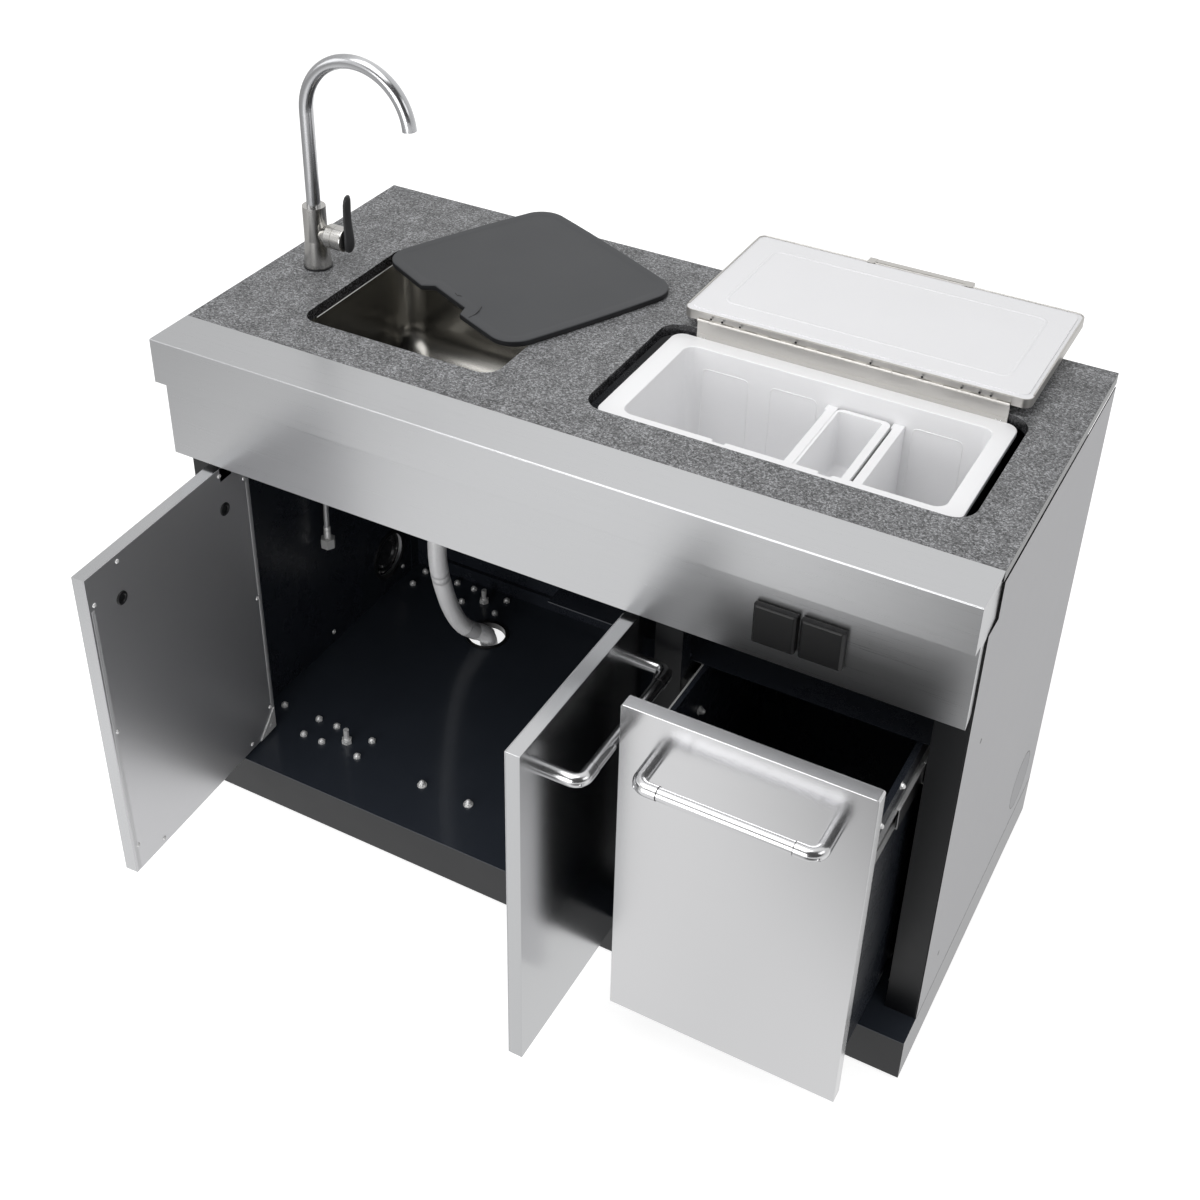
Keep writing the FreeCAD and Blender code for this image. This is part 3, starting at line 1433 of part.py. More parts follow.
def door_pieces(hand, side, pivot_x, axis, opened):
    """One door, drawn about its pivot line with its outer face towards the front."""
    pivot = (pivot_x, pivot_y, 0)
    half = s.door_thickness / 2
    bottom = s.door_bottom
    top = door_top
    wall = s.thin_sheet
    liner_front = half - wall
    low, high = span(side, -s.pivot_inset, door_reach)
    shell = box((low, -half, bottom), (high, liner_front, top))
    hollow = box((low + wall, -half + wall, bottom + wall), (high - wall, half, top - wall))
    pin_hole = s.pivot_radius + s.pivot_fit
    pin_holes = [
        cylinder((0, 0, bottom - wall), pin_hole, 3 * wall),
        cylinder((0, 0, top - 2 * wall), pin_hole, 3 * wall),
    ]
    swung_part(f"{hand}_door_skin", pivot, axis, opened, cut(shell, hollow, *pin_holes))

    notch = span(side, s.notch_from_end - s.pivot_inset, s.notch_from_end + s.notch_width - s.pivot_inset)
    panel = cut(
        box((low, liner_front, bottom), (high, half, top)),
        box((notch[0], liner_front, top - s.notch_height), (notch[1], half, top)))
    swung_part(f"{hand}_door_liner", pivot, axis, opened, panel)

    middle = (door_width / 2 - s.pivot_inset) * side
    grip = place(handle(s.handle_spacing, s.handle_standoff, s.sleeve_reach), (middle, -half, handle_level))
    swung_part(f"{hand}_door_handle", pivot, axis, opened, group(grip))

    pin_bottom = s.plinth_top - s.sheet
    pin_low = top - s.pivot_pin_reach
    fittings = [
        fuse(
            cylinder((0, 0, pin_bottom), s.pivot_radius, bottom + s.pivot_pin_reach - pin_bottom),
            cylinder((0, 0, floor_top), s.pivot_collar_radius, bottom - floor_top)),
        cylinder((0, 0, pin_low), s.pivot_radius, s.rail_bottom + 2 * s.sheet - pin_low),
    ]
    for post in (-0.5, 0.5):
        fittings.append(cylinder((middle + s.handle_spacing * post, half, handle_level),
                                 s.grommet_radius, s.grommet_height, "y"))
    edges = [s.door_screw_inset - s.pivot_inset, door_reach - s.door_screw_inset]
    rows = [bottom + s.door_screw_from_end, bottom + s.door_screw_middle, top - s.door_screw_from_end]
    spots = [(x, z) for x in edges for z in rows]
    inner_x = [s.door_screw_from_side - s.pivot_inset, door_reach - s.door_screw_from_side]
    spots += [(x, z) for x in inner_x for z in (bottom + s.door_screw_inset, top - s.door_screw_inset)]
    for x, z in spots:
        head = primitive("Part::Cone", (x * side, half, z), "y",
                         Radius1=s.door_screw_radius, Radius2=s.door_screw_radius / 2,
                         Height=s.door_screw_height)
        fittings.append(head)
    bracket_start = (low + s.bracket_inset) if side > 0 else (high - s.bracket_inset)
    bracket = new_body((bracket_start, half + s.bracket_sheet, bottom))
    sketch = new_sketch(bracket, "XZ_Plane")
    reach = s.bracket_side * side
    polygon(sketch, [(0, 0), (reach, 0), (0, s.bracket_side)])
    pad(bracket, sketch, s.bracket_sheet)
    fittings.append(bracket)
    swung_part(f"{hand}_door_fittings", pivot, axis, opened, *fittings)


def drawer_pieces():
    front_left = partition_right - s.partition_width + s.drawer_front_left_gap
    front_right = right_stile_edge - s.drawer_front_right_gap
    face = s.drawer_front_face
    back = face + s.door_thickness
    bottom = s.door_bottom
    top = door_top
    wall = s.thin_sheet
    pulled = (0, -s.drawer_pull, 0)

    def is_top_corner(edge):
        return edge.BoundBox.YLength > 1 and edge.BoundBox.ZMin > 1

    shell = block((front_left, face, bottom), (front_right, back - wall, top),
                  (is_top_corner, s.drawer_corner))
    hollow = block((front_left + wall, face + wall, bottom + wall), (front_right - wall, back, top - wall),
                   (is_top_corner, s.drawer_corner - wall))
    rear = block((front_left, back - wall, bottom), (front_right, back, top),
                 (is_top_corner, s.drawer_corner))
    sub_part("drawer_front", cut(shell, hollow), rear, shift=pulled)

    depth = s.drawer_box_depth
    box_top = door_top - s.drawer_box_below_top
    outer = box((drawer_left, back, s.drawer_box_bottom), (drawer_right, back + depth, box_top))
    inner = box((drawer_left + wall, back + wall, s.drawer_box_bottom + wall),
                (drawer_right - wall, back + depth - wall, box_top - wall))
    mouth = box(
        (drawer_left + s.drawer_flange, back + s.drawer_flange, box_top - 2 * wall),
        (drawer_right - s.drawer_flange, back + depth - s.drawer_flange, box_top))
    sub_part("drawer_box", cut(outer, inner, mouth), shift=pulled)

    middle = (front_left + front_right) / 2
    grip = place(handle(s.handle_spacing, s.handle_standoff, s.sleeve_reach), (middle, face, handle_level))
    sub_part("drawer_handle", group(grip), shift=pulled)


def channel(x, side, web, lip, half_height, start, end):
    """A slide rail: an upright web with a lip turned over at its top and bottom."""
    def stretch(near, far):
        return (x + near, x + far) if side > 0 else (x - far, x - near)
    sheet_width = s.sheet
    low, high = stretch(web, web + sheet_width)
    pieces = [box((low, start, slide_level - half_height), (high, end, slide_level + half_height))]
    near, far = (web, lip) if Value.of(lip).number > Value.of(web).number else (lip, web + sheet_width)
    low, high = stretch(near, far)
    for edge in (-half_height, half_height - sheet_width):
        pieces.append(box((low, start, slide_level + edge), (high, end, slide_level + edge + sheet_width)))
    return fuse(*pieces)


def slide_pieces():
    """Ball slides in three members; the middle one travels half as far as the drawer."""
    start = s.drawer_front_face + s.door_thickness + s.slide_front_gap
    end = start + s.drawer_box_depth
    outer_half = s.slide_half_height
    middle_half = outer_half - s.sheet - s.slide_running_gap
    inner_half = middle_half - s.sheet - s.slide_running_gap
    sides = ((slide_left, 1), (slide_right, -1))
    outers = []
    for x, side in sides:
        outers.append(channel(x, side, 0, s.slide_lip, outer_half, start, end))
    bracket_low = slide_level - s.slide_bracket_height / 2
    bracket_high = slide_level + s.slide_bracket_height / 2
    for low, high in ((partition_right, slide_left), (slide_right, right_liner_face)):
        for y in (start, end - s.slide_bracket_length):
            outers.append(box((low, y, bracket_low), (high, y + s.slide_bracket_length, bracket_high)))
    sub_part("slide_outer_members", *outers)
    middle_shift = (0, -s.drawer_pull / 2, 0)
    middles = [
        channel(x, side, 2 * s.sheet, 2 * s.sheet + s.slide_lip, middle_half, start, end) for x, side in sides
    ]
    sub_part("slide_middle_members", *middles, shift=middle_shift)
    inners = [
        channel(x, side, s.slide_width - s.sheet, s.slide_width - s.slide_lip, inner_half, start, end)
        for x, side in sides
    ]
    sub_part("slide_inner_members", *inners, shift=(0, -s.drawer_pull, 0))


base_pieces()
floor_pieces()
caster_pieces()
shell_pieces()
front_frame()
fascia_pieces()
outlet_pieces()
slab()
sink_pieces()
cover_piece()
faucet_pieces()
spout_piece()
supply_hose()
drain_hose()
port_rings()
cooler_pieces()
hinge_and_lid()
door_pieces("left", 1, left_pivot_x, FreeCAD.Vector(0, 0, -1), s.left_door_open)
door_pieces("right", -1, right_pivot_x, UP, s.right_door_open)
drawer_pieces()
slide_pieces()
doc.recompute()

faults = [item.Name for item in doc.Objects if "Invalid" in item.State or "Error" in item.State]
if faults:
    raise RuntimeError("these did not build: " + ", ".join(faults))
for item in sub_parts:
    if item.Shape.isNull() or not item.Shape.isValid() or not item.Shape.Solids:
        raise RuntimeError("this sub-part is not a sound solid: " + item.Label)

os.makedirs("parts", exist_ok=True)
for item in sub_parts:
    item.Shape.exportStep(f"parts/{item.Label}.step")
print(len(sub_parts), "sub-parts")
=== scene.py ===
"""Looks of an outdoor kitchen island: stone top, sink, cooler, doors, drawer and hoses.

New pieces are modelled in cabinet millimetres: x from the left side of the stone,
y back from the face of the upper fascia, z up from the foot of the plinth.
"""

import json
import logging
import math
from dataclasses import dataclass
from enum import Enum
from typing import Callable, Iterable, Optional, Sequence, Union

import bmesh
import bpy
from mathutils import Matrix, Vector


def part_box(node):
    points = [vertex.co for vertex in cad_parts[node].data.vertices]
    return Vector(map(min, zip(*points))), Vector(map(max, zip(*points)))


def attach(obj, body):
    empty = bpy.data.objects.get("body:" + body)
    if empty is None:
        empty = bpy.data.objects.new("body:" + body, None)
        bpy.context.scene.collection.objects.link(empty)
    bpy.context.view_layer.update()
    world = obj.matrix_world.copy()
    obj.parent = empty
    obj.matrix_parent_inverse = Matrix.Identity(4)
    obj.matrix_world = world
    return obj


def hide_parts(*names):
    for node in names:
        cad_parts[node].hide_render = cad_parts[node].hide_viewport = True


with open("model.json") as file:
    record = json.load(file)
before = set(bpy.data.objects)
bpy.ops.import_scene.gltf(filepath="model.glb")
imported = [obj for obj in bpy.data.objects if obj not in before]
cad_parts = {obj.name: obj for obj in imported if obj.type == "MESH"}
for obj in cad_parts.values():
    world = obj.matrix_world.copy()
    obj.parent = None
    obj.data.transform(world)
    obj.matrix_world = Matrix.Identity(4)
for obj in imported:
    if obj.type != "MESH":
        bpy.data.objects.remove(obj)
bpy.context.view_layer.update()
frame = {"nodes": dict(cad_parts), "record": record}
log = logging.getLogger("island")

Point = tuple[float, float, float]
Colour = tuple[float, float, float]
Pair = tuple[float, float]
Outline = tuple[Pair, ...]
MM = 0.001
PURE = (1.0, 1.0, 1.0, 1.0)

CORNER = Vector((
    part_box("countertop")[0].x,
    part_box("upper_fascia")[0].y,
    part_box("front_plinth")[0].z,
))
NODE_BODY = {
    node: body
    for body, nodes in frame["record"]["behaviour"]["bodies"].items()
    for node in nodes
}


def in_frame() -> Matrix:
    """The step from cabinet millimetres to the frame's metres."""
    return Matrix.Translation(CORNER) @ Matrix.Scale(MM, 4)


def cabinet_box(node: str) -> tuple[Vector, Vector]:
    """A CAD node's lowest and highest corner in cabinet millimetres."""
    low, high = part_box(node)
    return (low - CORNER) / MM, (high - CORNER) / MM


class Wire:
    """A shader socket that takes part in sums and products."""

    def __init__(self, graph: "Graph", socket: bpy.types.NodeSocket) -> None:
        """Keeps the graph that new nodes go into and the socket itself."""
        self.graph = graph
        self.socket = socket

    def _maths(self, operation: str, first: "Number", second: "Number") -> "Wire":
        """Adds one Math node and returns its result."""
        return self.graph.node("ShaderNodeMath", {"operation": operation}, {0: first, 1: second})

    def __add__(self, other: "Number") -> "Wire":
        """This value plus another."""
        return self._maths("ADD", self, other)

    def __sub__(self, other: "Number") -> "Wire":
        """This value less another."""
        return self._maths("SUBTRACT", self, other)

    def __rsub__(self, other: "Number") -> "Wire":
        """Another value less this one."""
        return self._maths("SUBTRACT", other, self)

    def __mul__(self, other: "Number") -> "Wire":
        """This value times another."""
        return self._maths("MULTIPLY", self, other)

    __radd__ = __add__
    __rmul__ = __mul__


Number = Union[float, Wire]


class Graph:
    """The nodes of one material or of the world."""

    def __init__(self, tree: bpy.types.NodeTree) -> None:
        """Keeps the tree that new nodes go into."""
        self.tree = tree

    def node(self, kind: str, settings: Optional[dict] = None, inputs: Optional[dict] = None,
             output: Union[int, str] = 0) -> Wire:
        """Adds any node.

        Args:
            kind: the node's type name.
            settings: its options, set first.
            inputs: values or wires for its sockets, by name or number.
            output: which of its outputs is wanted.

        Returns:
            The wanted output.
        """
        made = self.tree.nodes.new(kind)
        for key, value in (settings or {}).items():
            setattr(made, key, value)
        for key, value in (inputs or {}).items():
            self._give(made.inputs[key], value)
        return Wire(self, made.outputs[output])

    def _give(self, socket: bpy.types.NodeSocket, value: Union[Number, tuple]) -> None:
        """Links a wire to a socket, or sets the socket."""
        if isinstance(value, Wire):
            self.tree.links.new(value.socket, socket)
        else:
            socket.default_value = value

    def feed(self, socket: str, value: Number) -> None:
        """Sets or links one socket of the Principled shader."""
        shader = next(node for node in self.tree.nodes if node.type == "BSDF_PRINCIPLED")
        self._give(shader.inputs[socket], value)

    def show(self, kind: str, surface: Wire) -> None:
        """Adds the output node of that kind and links the surface to it."""
        self._give(self.tree.nodes.new(kind).inputs["Surface"], surface)

    def place(self) -> Wire:
        """Where a point lies in the piece's own coordinates."""
        return self.node("ShaderNodeTexCoord", output="Object")

    def part(self, place: Wire, axis: int = 0) -> Wire:
        """One coordinate of a place or direction."""
        return self.node("ShaderNodeSeparateXYZ", {}, {0: place}, output=axis)

    def ray(self, kind: str) -> Wire:
        """One for rays of a kind, such as Camera, and zero for all others."""
        return self.node("ShaderNodeLightPath", output=f"Is {kind} Ray")

    def ramp(self, share: Wire, stops: Iterable[tuple[float, Colour]]) -> Wire:
        """Turns a share from 0 to 1 into a colour.

        Args:
            share: what picks the colour.
            stops: positions with their colours, in order.

        Returns:
            The colour.
        """
        made = self.tree.nodes.new("ShaderNodeValToRGB")
        stops = list(stops)
        elements = made.color_ramp.elements
        while len(elements) < len(stops):
            elements.new(1.0)
        for element, (position, colour) in zip(elements, stops):
            element.position = position
            element.color = (*colour, 1.0)
        self._give(made.inputs["Fac"], share)
        return Wire(self, made.outputs[0])

    def fade(self, value: Wire, start: float, end: float, first: float, last: float) -> Wire:
        """Goes softly from a first to a last value while another goes from start to end."""
        return self.node("ShaderNodeMapRange", {"interpolation_type": "SMOOTHSTEP"}, {
            "Value": value, "From Min": start, "From Max": end, "To Min": first, "To Max": last})

    def noise(self, size: Point, detail: float = 2.0, rough: float = 0.5) -> Wire:
        """Cloudy noise on the piece's own coordinates.

        Args:
            size: how large its features are along x, y and z, in millimetres.
            detail: how many finer layers it has.
            rough: how strong the finer layers are.

        Returns:
            The noise, from 0 to 1.
        """
        scale = tuple(1.0 / (span * MM) for span in size)
        mapped = self.node("ShaderNodeMapping", {}, {"Vector": self.place(), "Scale": scale})
        return self.node("ShaderNodeTexNoise", {}, {
            "Vector": mapped, "Scale": 1.0, "Detail": detail, "Roughness": rough})

    def blend(self, share: Number, first: Colour, second: Colour) -> Wire:
        """Mixes two colours by a share from 0 to 1."""
        return self.node("ShaderNodeMix", {"data_type": "RGBA"},
                         {0: share, 6: (*first, 1.0), 7: (*second, 1.0)}, output=2)

    def relief(self, height: Wire, depth: float, strength: float) -> None:
        """Raises the surface by a map from 0 to 1, a depth in millimetres and how much shows."""
        self.feed("Normal", self.node("ShaderNodeBump", {}, {
            "Height": height, "Distance": depth * MM, "Strength": strength}, output="Normal"))


def bare_graph(owner: Union[bpy.types.World, bpy.types.Material]) -> Graph:
    """Empties the node tree of a world or a material.

    Args:
        owner: the new world or material.

    Returns:
        Its graph.
    """
    owner.use_nodes = True
    owner.node_tree.nodes.clear()
    return Graph(owner.node_tree)


def shade(colour: Colour, share: float) -> Colour:
    """A colour made lighter or darker."""
    return tuple(min(1.0, part * share) for part in colour)


@dataclass(frozen=True)
class Finish:
    """What a surface is made of."""

    name: str
    colour: Colour
    roughness: float
    metallic: float = 0.0
    coat: float = 0.0

    def material(self) -> bpy.types.Material:
        """Makes the finish's material, or finds it.

        Returns:
            The material.
        """
        known = bpy.data.materials.get(self.name)
        if known:
            return known
        made = bpy.data.materials.new(self.name)
        made.use_nodes = True
        graph = Graph(made.node_tree)
        graph.feed("Metallic", self.metallic)
        graph.feed("Coat Weight", self.coat)
        self.dress(graph)
        return made

    def dress(self, graph: Graph) -> None:
        """Adds the nodes that make this finish what it is.

        Args:
            graph: the material's graph.
        """
        raise NotImplementedError


class Grain(Enum):
    """Which way the lines of a brushed sheet run."""

    ALONG_X = (160.0, 0.45, 0.45)
    ALONG_Y = (0.45, 160.0, 0.45)
    ALONG_Z = (0.45, 0.45, 160.0)


@dataclass(frozen=True)
class Brushed(Finish):
    """Metal with fine lines left by a belt or a lathe."""

    grain: Grain = Grain.ALONG_X
    contrast: float = 0.06
    raised: float = 0.2

    def dress(self, graph: Graph) -> None:
        """Fine lines in tone, gloss and relief, over slow drifts of tone.

        Args:
            graph: the material's graph.
        """
        lines = graph.noise(self.grain.value, detail=3.0, rough=0.7)
        broad = graph.noise(tuple(9.0 * part for part in self.grain.value), detail=2.0)
        drift = graph.noise((320.0, 320.0, 320.0), detail=1.0)
        tone = lines * 0.6 + broad * 0.1 + drift * 0.3
        graph.feed("Base Color", graph.blend(
            tone, shade(self.colour, 1.0 - self.contrast), shade(self.colour, 1.0 + self.contrast)))
        graph.feed("Roughness", (lines - 0.5) * 0.09 + (broad - 0.5) * 0.02 + self.roughness)
        graph.relief(lines, 0.006, self.raised)


@dataclass(frozen=True)
class Coated(Finish):
    """Sheet metal with a sprayed coat."""

    pore: float = 1.4
    depth: float = 0.02

    def dress(self, graph: Graph) -> None:
        """A faint orange peel and slow drifts of gloss.

        Args:
            graph: the material's graph.
        """
        peel = graph.noise((self.pore,) * 3, detail=2.0)
        drift = graph.noise((70.0, 70.0, 70.0), detail=3.0)
        tone = peel * 0.5 + drift * 0.5
        graph.feed("Base Color", graph.blend(tone, shade(self.colour, 0.82), shade(self.colour, 1.18)))
        graph.feed("Roughness", (drift - 0.5) * 0.14 + (peel - 0.5) * 0.06 + self.roughness)
        graph.relief(peel, self.depth, 0.4)


@dataclass(frozen=True)
class Moulded(Finish):
    """Plastic or rubber out of a mould."""

    grit: float = 0.9
    depth: float = 0.02
    drift: float = 0.04

    def dress(self, graph: Graph) -> None:
        """A fine mould texture and a slow drift of tone.

        Args:
            graph: the material's graph.
        """
        grit = graph.noise((self.grit,) * 3, detail=2.0)
        slow = graph.noise((110.0, 110.0, 110.0), detail=2.0)
        graph.feed("Base Color", graph.blend(
            slow, shade(self.colour, 1.0 - self.drift), shade(self.colour, 1.0 + self.drift)))
        graph.feed("Roughness", (slow - 0.5) * 0.10 + (grit - 0.5) * 0.10 + self.roughness)
        graph.relief(grit, self.depth, 0.35)


@dataclass(frozen=True)
class Granite(Finish):
    """Honed dark grey stone with small light and dark crystals."""

    crystal: float = 2.1

    def dress(self, graph: Graph) -> None:
        """Sharp crystals over softer clouds, in a ramp from dark mica to pale feldspar.

        Args:
            graph: the material's graph.
        """
        place = graph.place()
        cells = graph.node("ShaderNodeTexVoronoi", {}, {
            "Vector": place, "Scale": 1.0 / (self.crystal * MM)}, output="Color")
        sharp = graph.node("ShaderNodeSeparateColor", {}, {0: cells})
        fine = graph.noise((1.6, 1.6, 1.6), detail=3.0, rough=0.7)
        grains = graph.noise((6.0, 6.0, 6.0), detail=3.0, rough=0.6)
        clouds = graph.noise((38.0, 38.0, 38.0), detail=3.0, rough=0.55)
        mix = sharp * 0.30 + fine * 0.24 + grains * 0.27 + clouds * 0.19
        dark, plain, light, pale = (shade(self.colour, k) for k in (0.22, 0.72, 1.25, 2.6))
        stone = graph.ramp(mix, [(0.33, dark), (0.45, plain), (0.56, light), (0.68, pale)])
        graph.feed("Base Color", stone)
        graph.feed("Roughness", (fine - 0.5) * 0.4 + self.roughness)
        graph.relief(fine, 0.05, 0.35)


@dataclass(frozen=True)
class Braided(Finish):
    """A hose wrapped in crossing strands, on a hose that hangs nearly upright."""

    strand: float = 2.2

    def dress(self, graph: Graph) -> None:
        """Two sets of slanted waves that cross.

        Args:
            graph: the material's graph.
        """
        place = graph.place()
        x, y, z = (graph.part(place, axis) for axis in range(3))
        pitch = 2.0 * math.pi / (self.strand * MM)
        waves = [
            graph.node("ShaderNodeMath", {"operation": "SINE"}, {0: (z + slant) * pitch})
            for slant in (x + y, y - x)
        ]
        weave = waves[0] * waves[1] * 0.5 + 0.5
        graph.feed("Base Color", graph.blend(weave, shade(self.colour, 0.55), shade(self.colour, 1.1)))
        graph.feed("Roughness", self.roughness)
        graph.relief(weave, 0.3, 0.6)


STEEL = (0.60, 0.605, 0.615)
POLISHED = (0.74, 0.74, 0.75)
FASCIA = Brushed("fascia steel", STEEL, 0.29, 1.0)
DOOR = Brushed("door steel", STEEL, 0.20, 1.0, grain=Grain.ALONG_Y)
LINER = Brushed("door liner steel", (0.65, 0.65, 0.665), 0.34, 0.78, grain=Grain.ALONG_Y)
DRAWER = Brushed("drawer steel", (0.76, 0.76, 0.77), 0.22, 1.0)
TUBE = Brushed("tube steel", POLISHED, 0.19, 1.0, contrast=0.04)
DOOR_TUBE = Brushed("door tube steel", POLISHED, 0.19, 1.0, grain=Grain.ALONG_Y, contrast=0.04)
ZINC = Brushed("bright zinc", (0.78, 0.78, 0.77), 0.22, 1.0, contrast=0.10)
BOWL = Brushed("satin bowl steel", (0.42, 0.41, 0.385), 0.25, 1.0,
               grain=Grain.ALONG_Z, contrast=0.02, raised=0.03)
HEM = Brushed("liner hem steel", (0.66, 0.66, 0.67), 0.38, 0.45, grain=Grain.ALONG_Z)
BRIGHT = Brushed("plated fasteners", (0.86, 0.86, 0.855), 0.26, 0.45, contrast=0.08)
# A shaded copy for the slides' webs and a lit copy for their lips: painted shade and painted highlight on
# one zinc slide.
SLIDE_WEB_SHADE = Brushed("slide web painted shade", (0.12, 0.12, 0.125), 0.30, 1.0, grain=Grain.ALONG_Y)
SLIDE_LIP_HIGHLIGHT = Brushed("slide lips painted highlight", (0.86, 0.86, 0.86), 0.22, 0.6, grain=Grain.ALONG_Y)
HINGE = Brushed("hinge steel", (0.60, 0.585, 0.56), 0.36, 1.0)
NICKEL = Brushed("brushed nickel", (0.62, 0.61, 0.59), 0.22, 1.0, grain=Grain.ALONG_Z, contrast=0.12)
SPOUT = Brushed("satin spout steel", (0.62, 0.625, 0.64), 0.20, 1.0, grain=Grain.ALONG_Z, contrast=0.04)
SIDE = Coated("light grey coat", (0.47, 0.47, 0.485), 0.42, 0.35)
INSIDE = Coated("black inner coat", (0.018, 0.021, 0.028), 0.28)
FLOOR = Coated("black floor coat", (0.027, 0.032, 0.042), 0.22, coat=0.3)
FRAME = Coated("black frame coat", (0.004, 0.0045, 0.006), 0.40)
PLINTH = Coated("dark plinth coat", (0.011, 0.0115, 0.013), 0.44)
PLINTH_SIDE = Coated("grey plinth coat", (0.45, 0.45, 0.46), 0.40, 0.3)
STONE = Granite("honed granite", (0.150, 0.152, 0.157), 0.46)
# Polished granite for the slab's upright faces; its much darker tone is painted shade.
SHADED_POLISHED_STONE = Granite("polished granite edge painted dark", (0.026, 0.026, 0.028), 0.20)
WHITE = Moulded("white cooler plastic", (0.80, 0.80, 0.815), 0.36, drift=0.02)
TUB = Moulded("white tub plastic", (0.92, 0.92, 0.93), 0.40, drift=0.01)
CASING = Moulded("black casing", (0.02, 0.02, 0.022), 0.6)
BOARD = Moulded("dark grey board", (0.037, 0.039, 0.043), 0.46, grit=1.2, depth=0.03)
# A darker copy of the board's plastic, painted shade on its sides and underside.
BOARD_EDGE_SHADE = Moulded("board edge painted shade", (0.009, 0.0095, 0.011), 0.5)
COVERS = Moulded("black weather cover", (0.004, 0.004, 0.0045), 0.42)
# Glossy black for the wall port's cap, partly a real cap and partly painted shade for the port's dark
# inside.
PORT_CAP_AND_SHADE = Moulded("glossy port cap and painted shade", (0.03, 0.03, 0.032), 0.12, coat=1.0)
PATCH = Coated("knock-out coat", (0.37, 0.37, 0.385), 0.42, 0.35)
# Near-black painted shadow for the side panels' front and top edge faces, where the gaps to fascia and stone
# are in shade.
PAINTED_GAP_SHADOW = Moulded("joint shadow", (0.003, 0.003, 0.0035), 0.7)
BLACK = Moulded("black trim", (0.012, 0.012, 0.013), 0.30)
LEVER = Moulded("black lever", (0.028, 0.028, 0.030), 0.42, grit=0.7)
HOSE = Moulded("grey hose plastic", (0.80, 0.80, 0.81), 0.28, coat=0.3, drift=0.06)
BRAID = Braided("light braid", (0.80, 0.80, 0.81), 0.32, 0.6)
TYRE = Moulded("caster tyre", (0.03, 0.03, 0.031), 0.6)


def facing(place: Point, way: Point) -> Matrix:
    """The step that takes the origin to a place and the z axis to a direction."""
    turn = Vector((0, 0, 1)).rotation_difference(Vector(way)).to_matrix().to_4x4()
    return Matrix.Translation(place) @ turn


def verts_in(made: Iterable) -> list[bmesh.types.BMVert]:
    """The vertices among what an operator made."""
    return [item for item in made if isinstance(item, bmesh.types.BMVert)]


def edges_in(made: Iterable) -> list[bmesh.types.BMEdge]:
    """The edges among what an operator made."""
    return [item for item in made if isinstance(item, bmesh.types.BMEdge)]


def edges_at(verts: Iterable[bmesh.types.BMVert]) -> list[bmesh.types.BMEdge]:
    """All edges that end at some vertices."""
    return list({edge for vert in verts for edge in vert.link_edges})


def ease(mesh: bmesh.types.BMesh, edges: list[bmesh.types.BMEdge], width: float, steps: int = 2) -> None:
    """Rounds some edges of a mesh."""
    bmesh.ops.bevel(mesh, geom=edges, offset=width, offset_type="OFFSET", affect="EDGES",
                    segments=steps, profile=0.5, material=-1, clamp_overlap=True)


@dataclass(frozen=True)
class Run:
    """A straight stretch of a tube."""

    step: Point

    def draw(self, mesh: bmesh.types.BMesh, edges: list) -> list:
        """Carries the tube's last ring on.

        Args:
            mesh: the tube's mesh.
            edges: its last ring.

        Returns:
            The new ring.
        """
        made = bmesh.ops.extrude_edge_only(mesh, edges=edges)["geom"]
        bmesh.ops.translate(mesh, vec=self.step, verts=verts_in(made))
        return edges_in(made)


@dataclass(frozen=True)
class Bend:
    """A round bend of a tube about a centre."""

    centre: Point
    axis: Point
    angle: float = 90.0
    steps: int = 14

    def draw(self, mesh: bmesh.types.BMesh, edges: list) -> list:
        """Swings the tube's last ring round.

        Args:
            mesh: the tube's mesh.
            edges: its last ring.

        Returns:
            The new ring.
        """
        made = bmesh.ops.spin(mesh, geom=edges, cent=self.centre, axis=self.axis,
                              angle=math.radians(self.angle), steps=self.steps,
                              use_merge=False, use_duplicate=False)
        return edges_in(made["geom_last"])


@dataclass(frozen=True)
class Swell:
    """A change of a tube's radius, straight out or in."""

    share: float

    def draw(self, mesh: bmesh.types.BMesh, edges: list) -> list:
        """Widens or narrows a copy of the tube's last ring.

        Args:
            mesh: the tube's mesh.
            edges: its last ring.

        Returns:
            The new ring.
        """
        made = bmesh.ops.extrude_edge_only(mesh, edges=edges)["geom"]
        verts = verts_in(made)
        middle = sum((vert.co for vert in verts), Vector()) / len(verts)
        bmesh.ops.scale(mesh, vec=(self.share,) * 3, space=Matrix.Translation(-middle), verts=verts)
        return edges_in(made)


Move = Union[Run, Bend, Swell]


def legs(points: Sequence[Point], corner: float, steps: int) -> list[Move]:
    """The moves of a tube along straight legs with rounded corners.

    Args:
        points: where it starts, where it turns by a right angle, and where it ends.
        corner: the radius of its corners.
        steps: how many faces each corner has along it.

    Returns:
        The moves, without any leg that its corners use up.
    """
    stops = [Vector(point) for point in points]
    ways = [(there - here).normalized() for here, there in zip(stops, stops[1:])]
    moves: list[Move] = []
    for index, way in enumerate(ways):
        there = stops[index + 1]
        ends = (index > 0) + (index < len(ways) - 1)
        length = (there - stops[index]).length - ends * corner
        if length > 0.001:
            moves.append(Run(way * length))
        if index < len(ways) - 1:
            onward = ways[index + 1]
            moves.append(Bend(there + (onward - way) * corner, way.cross(onward), steps=steps))
    return moves


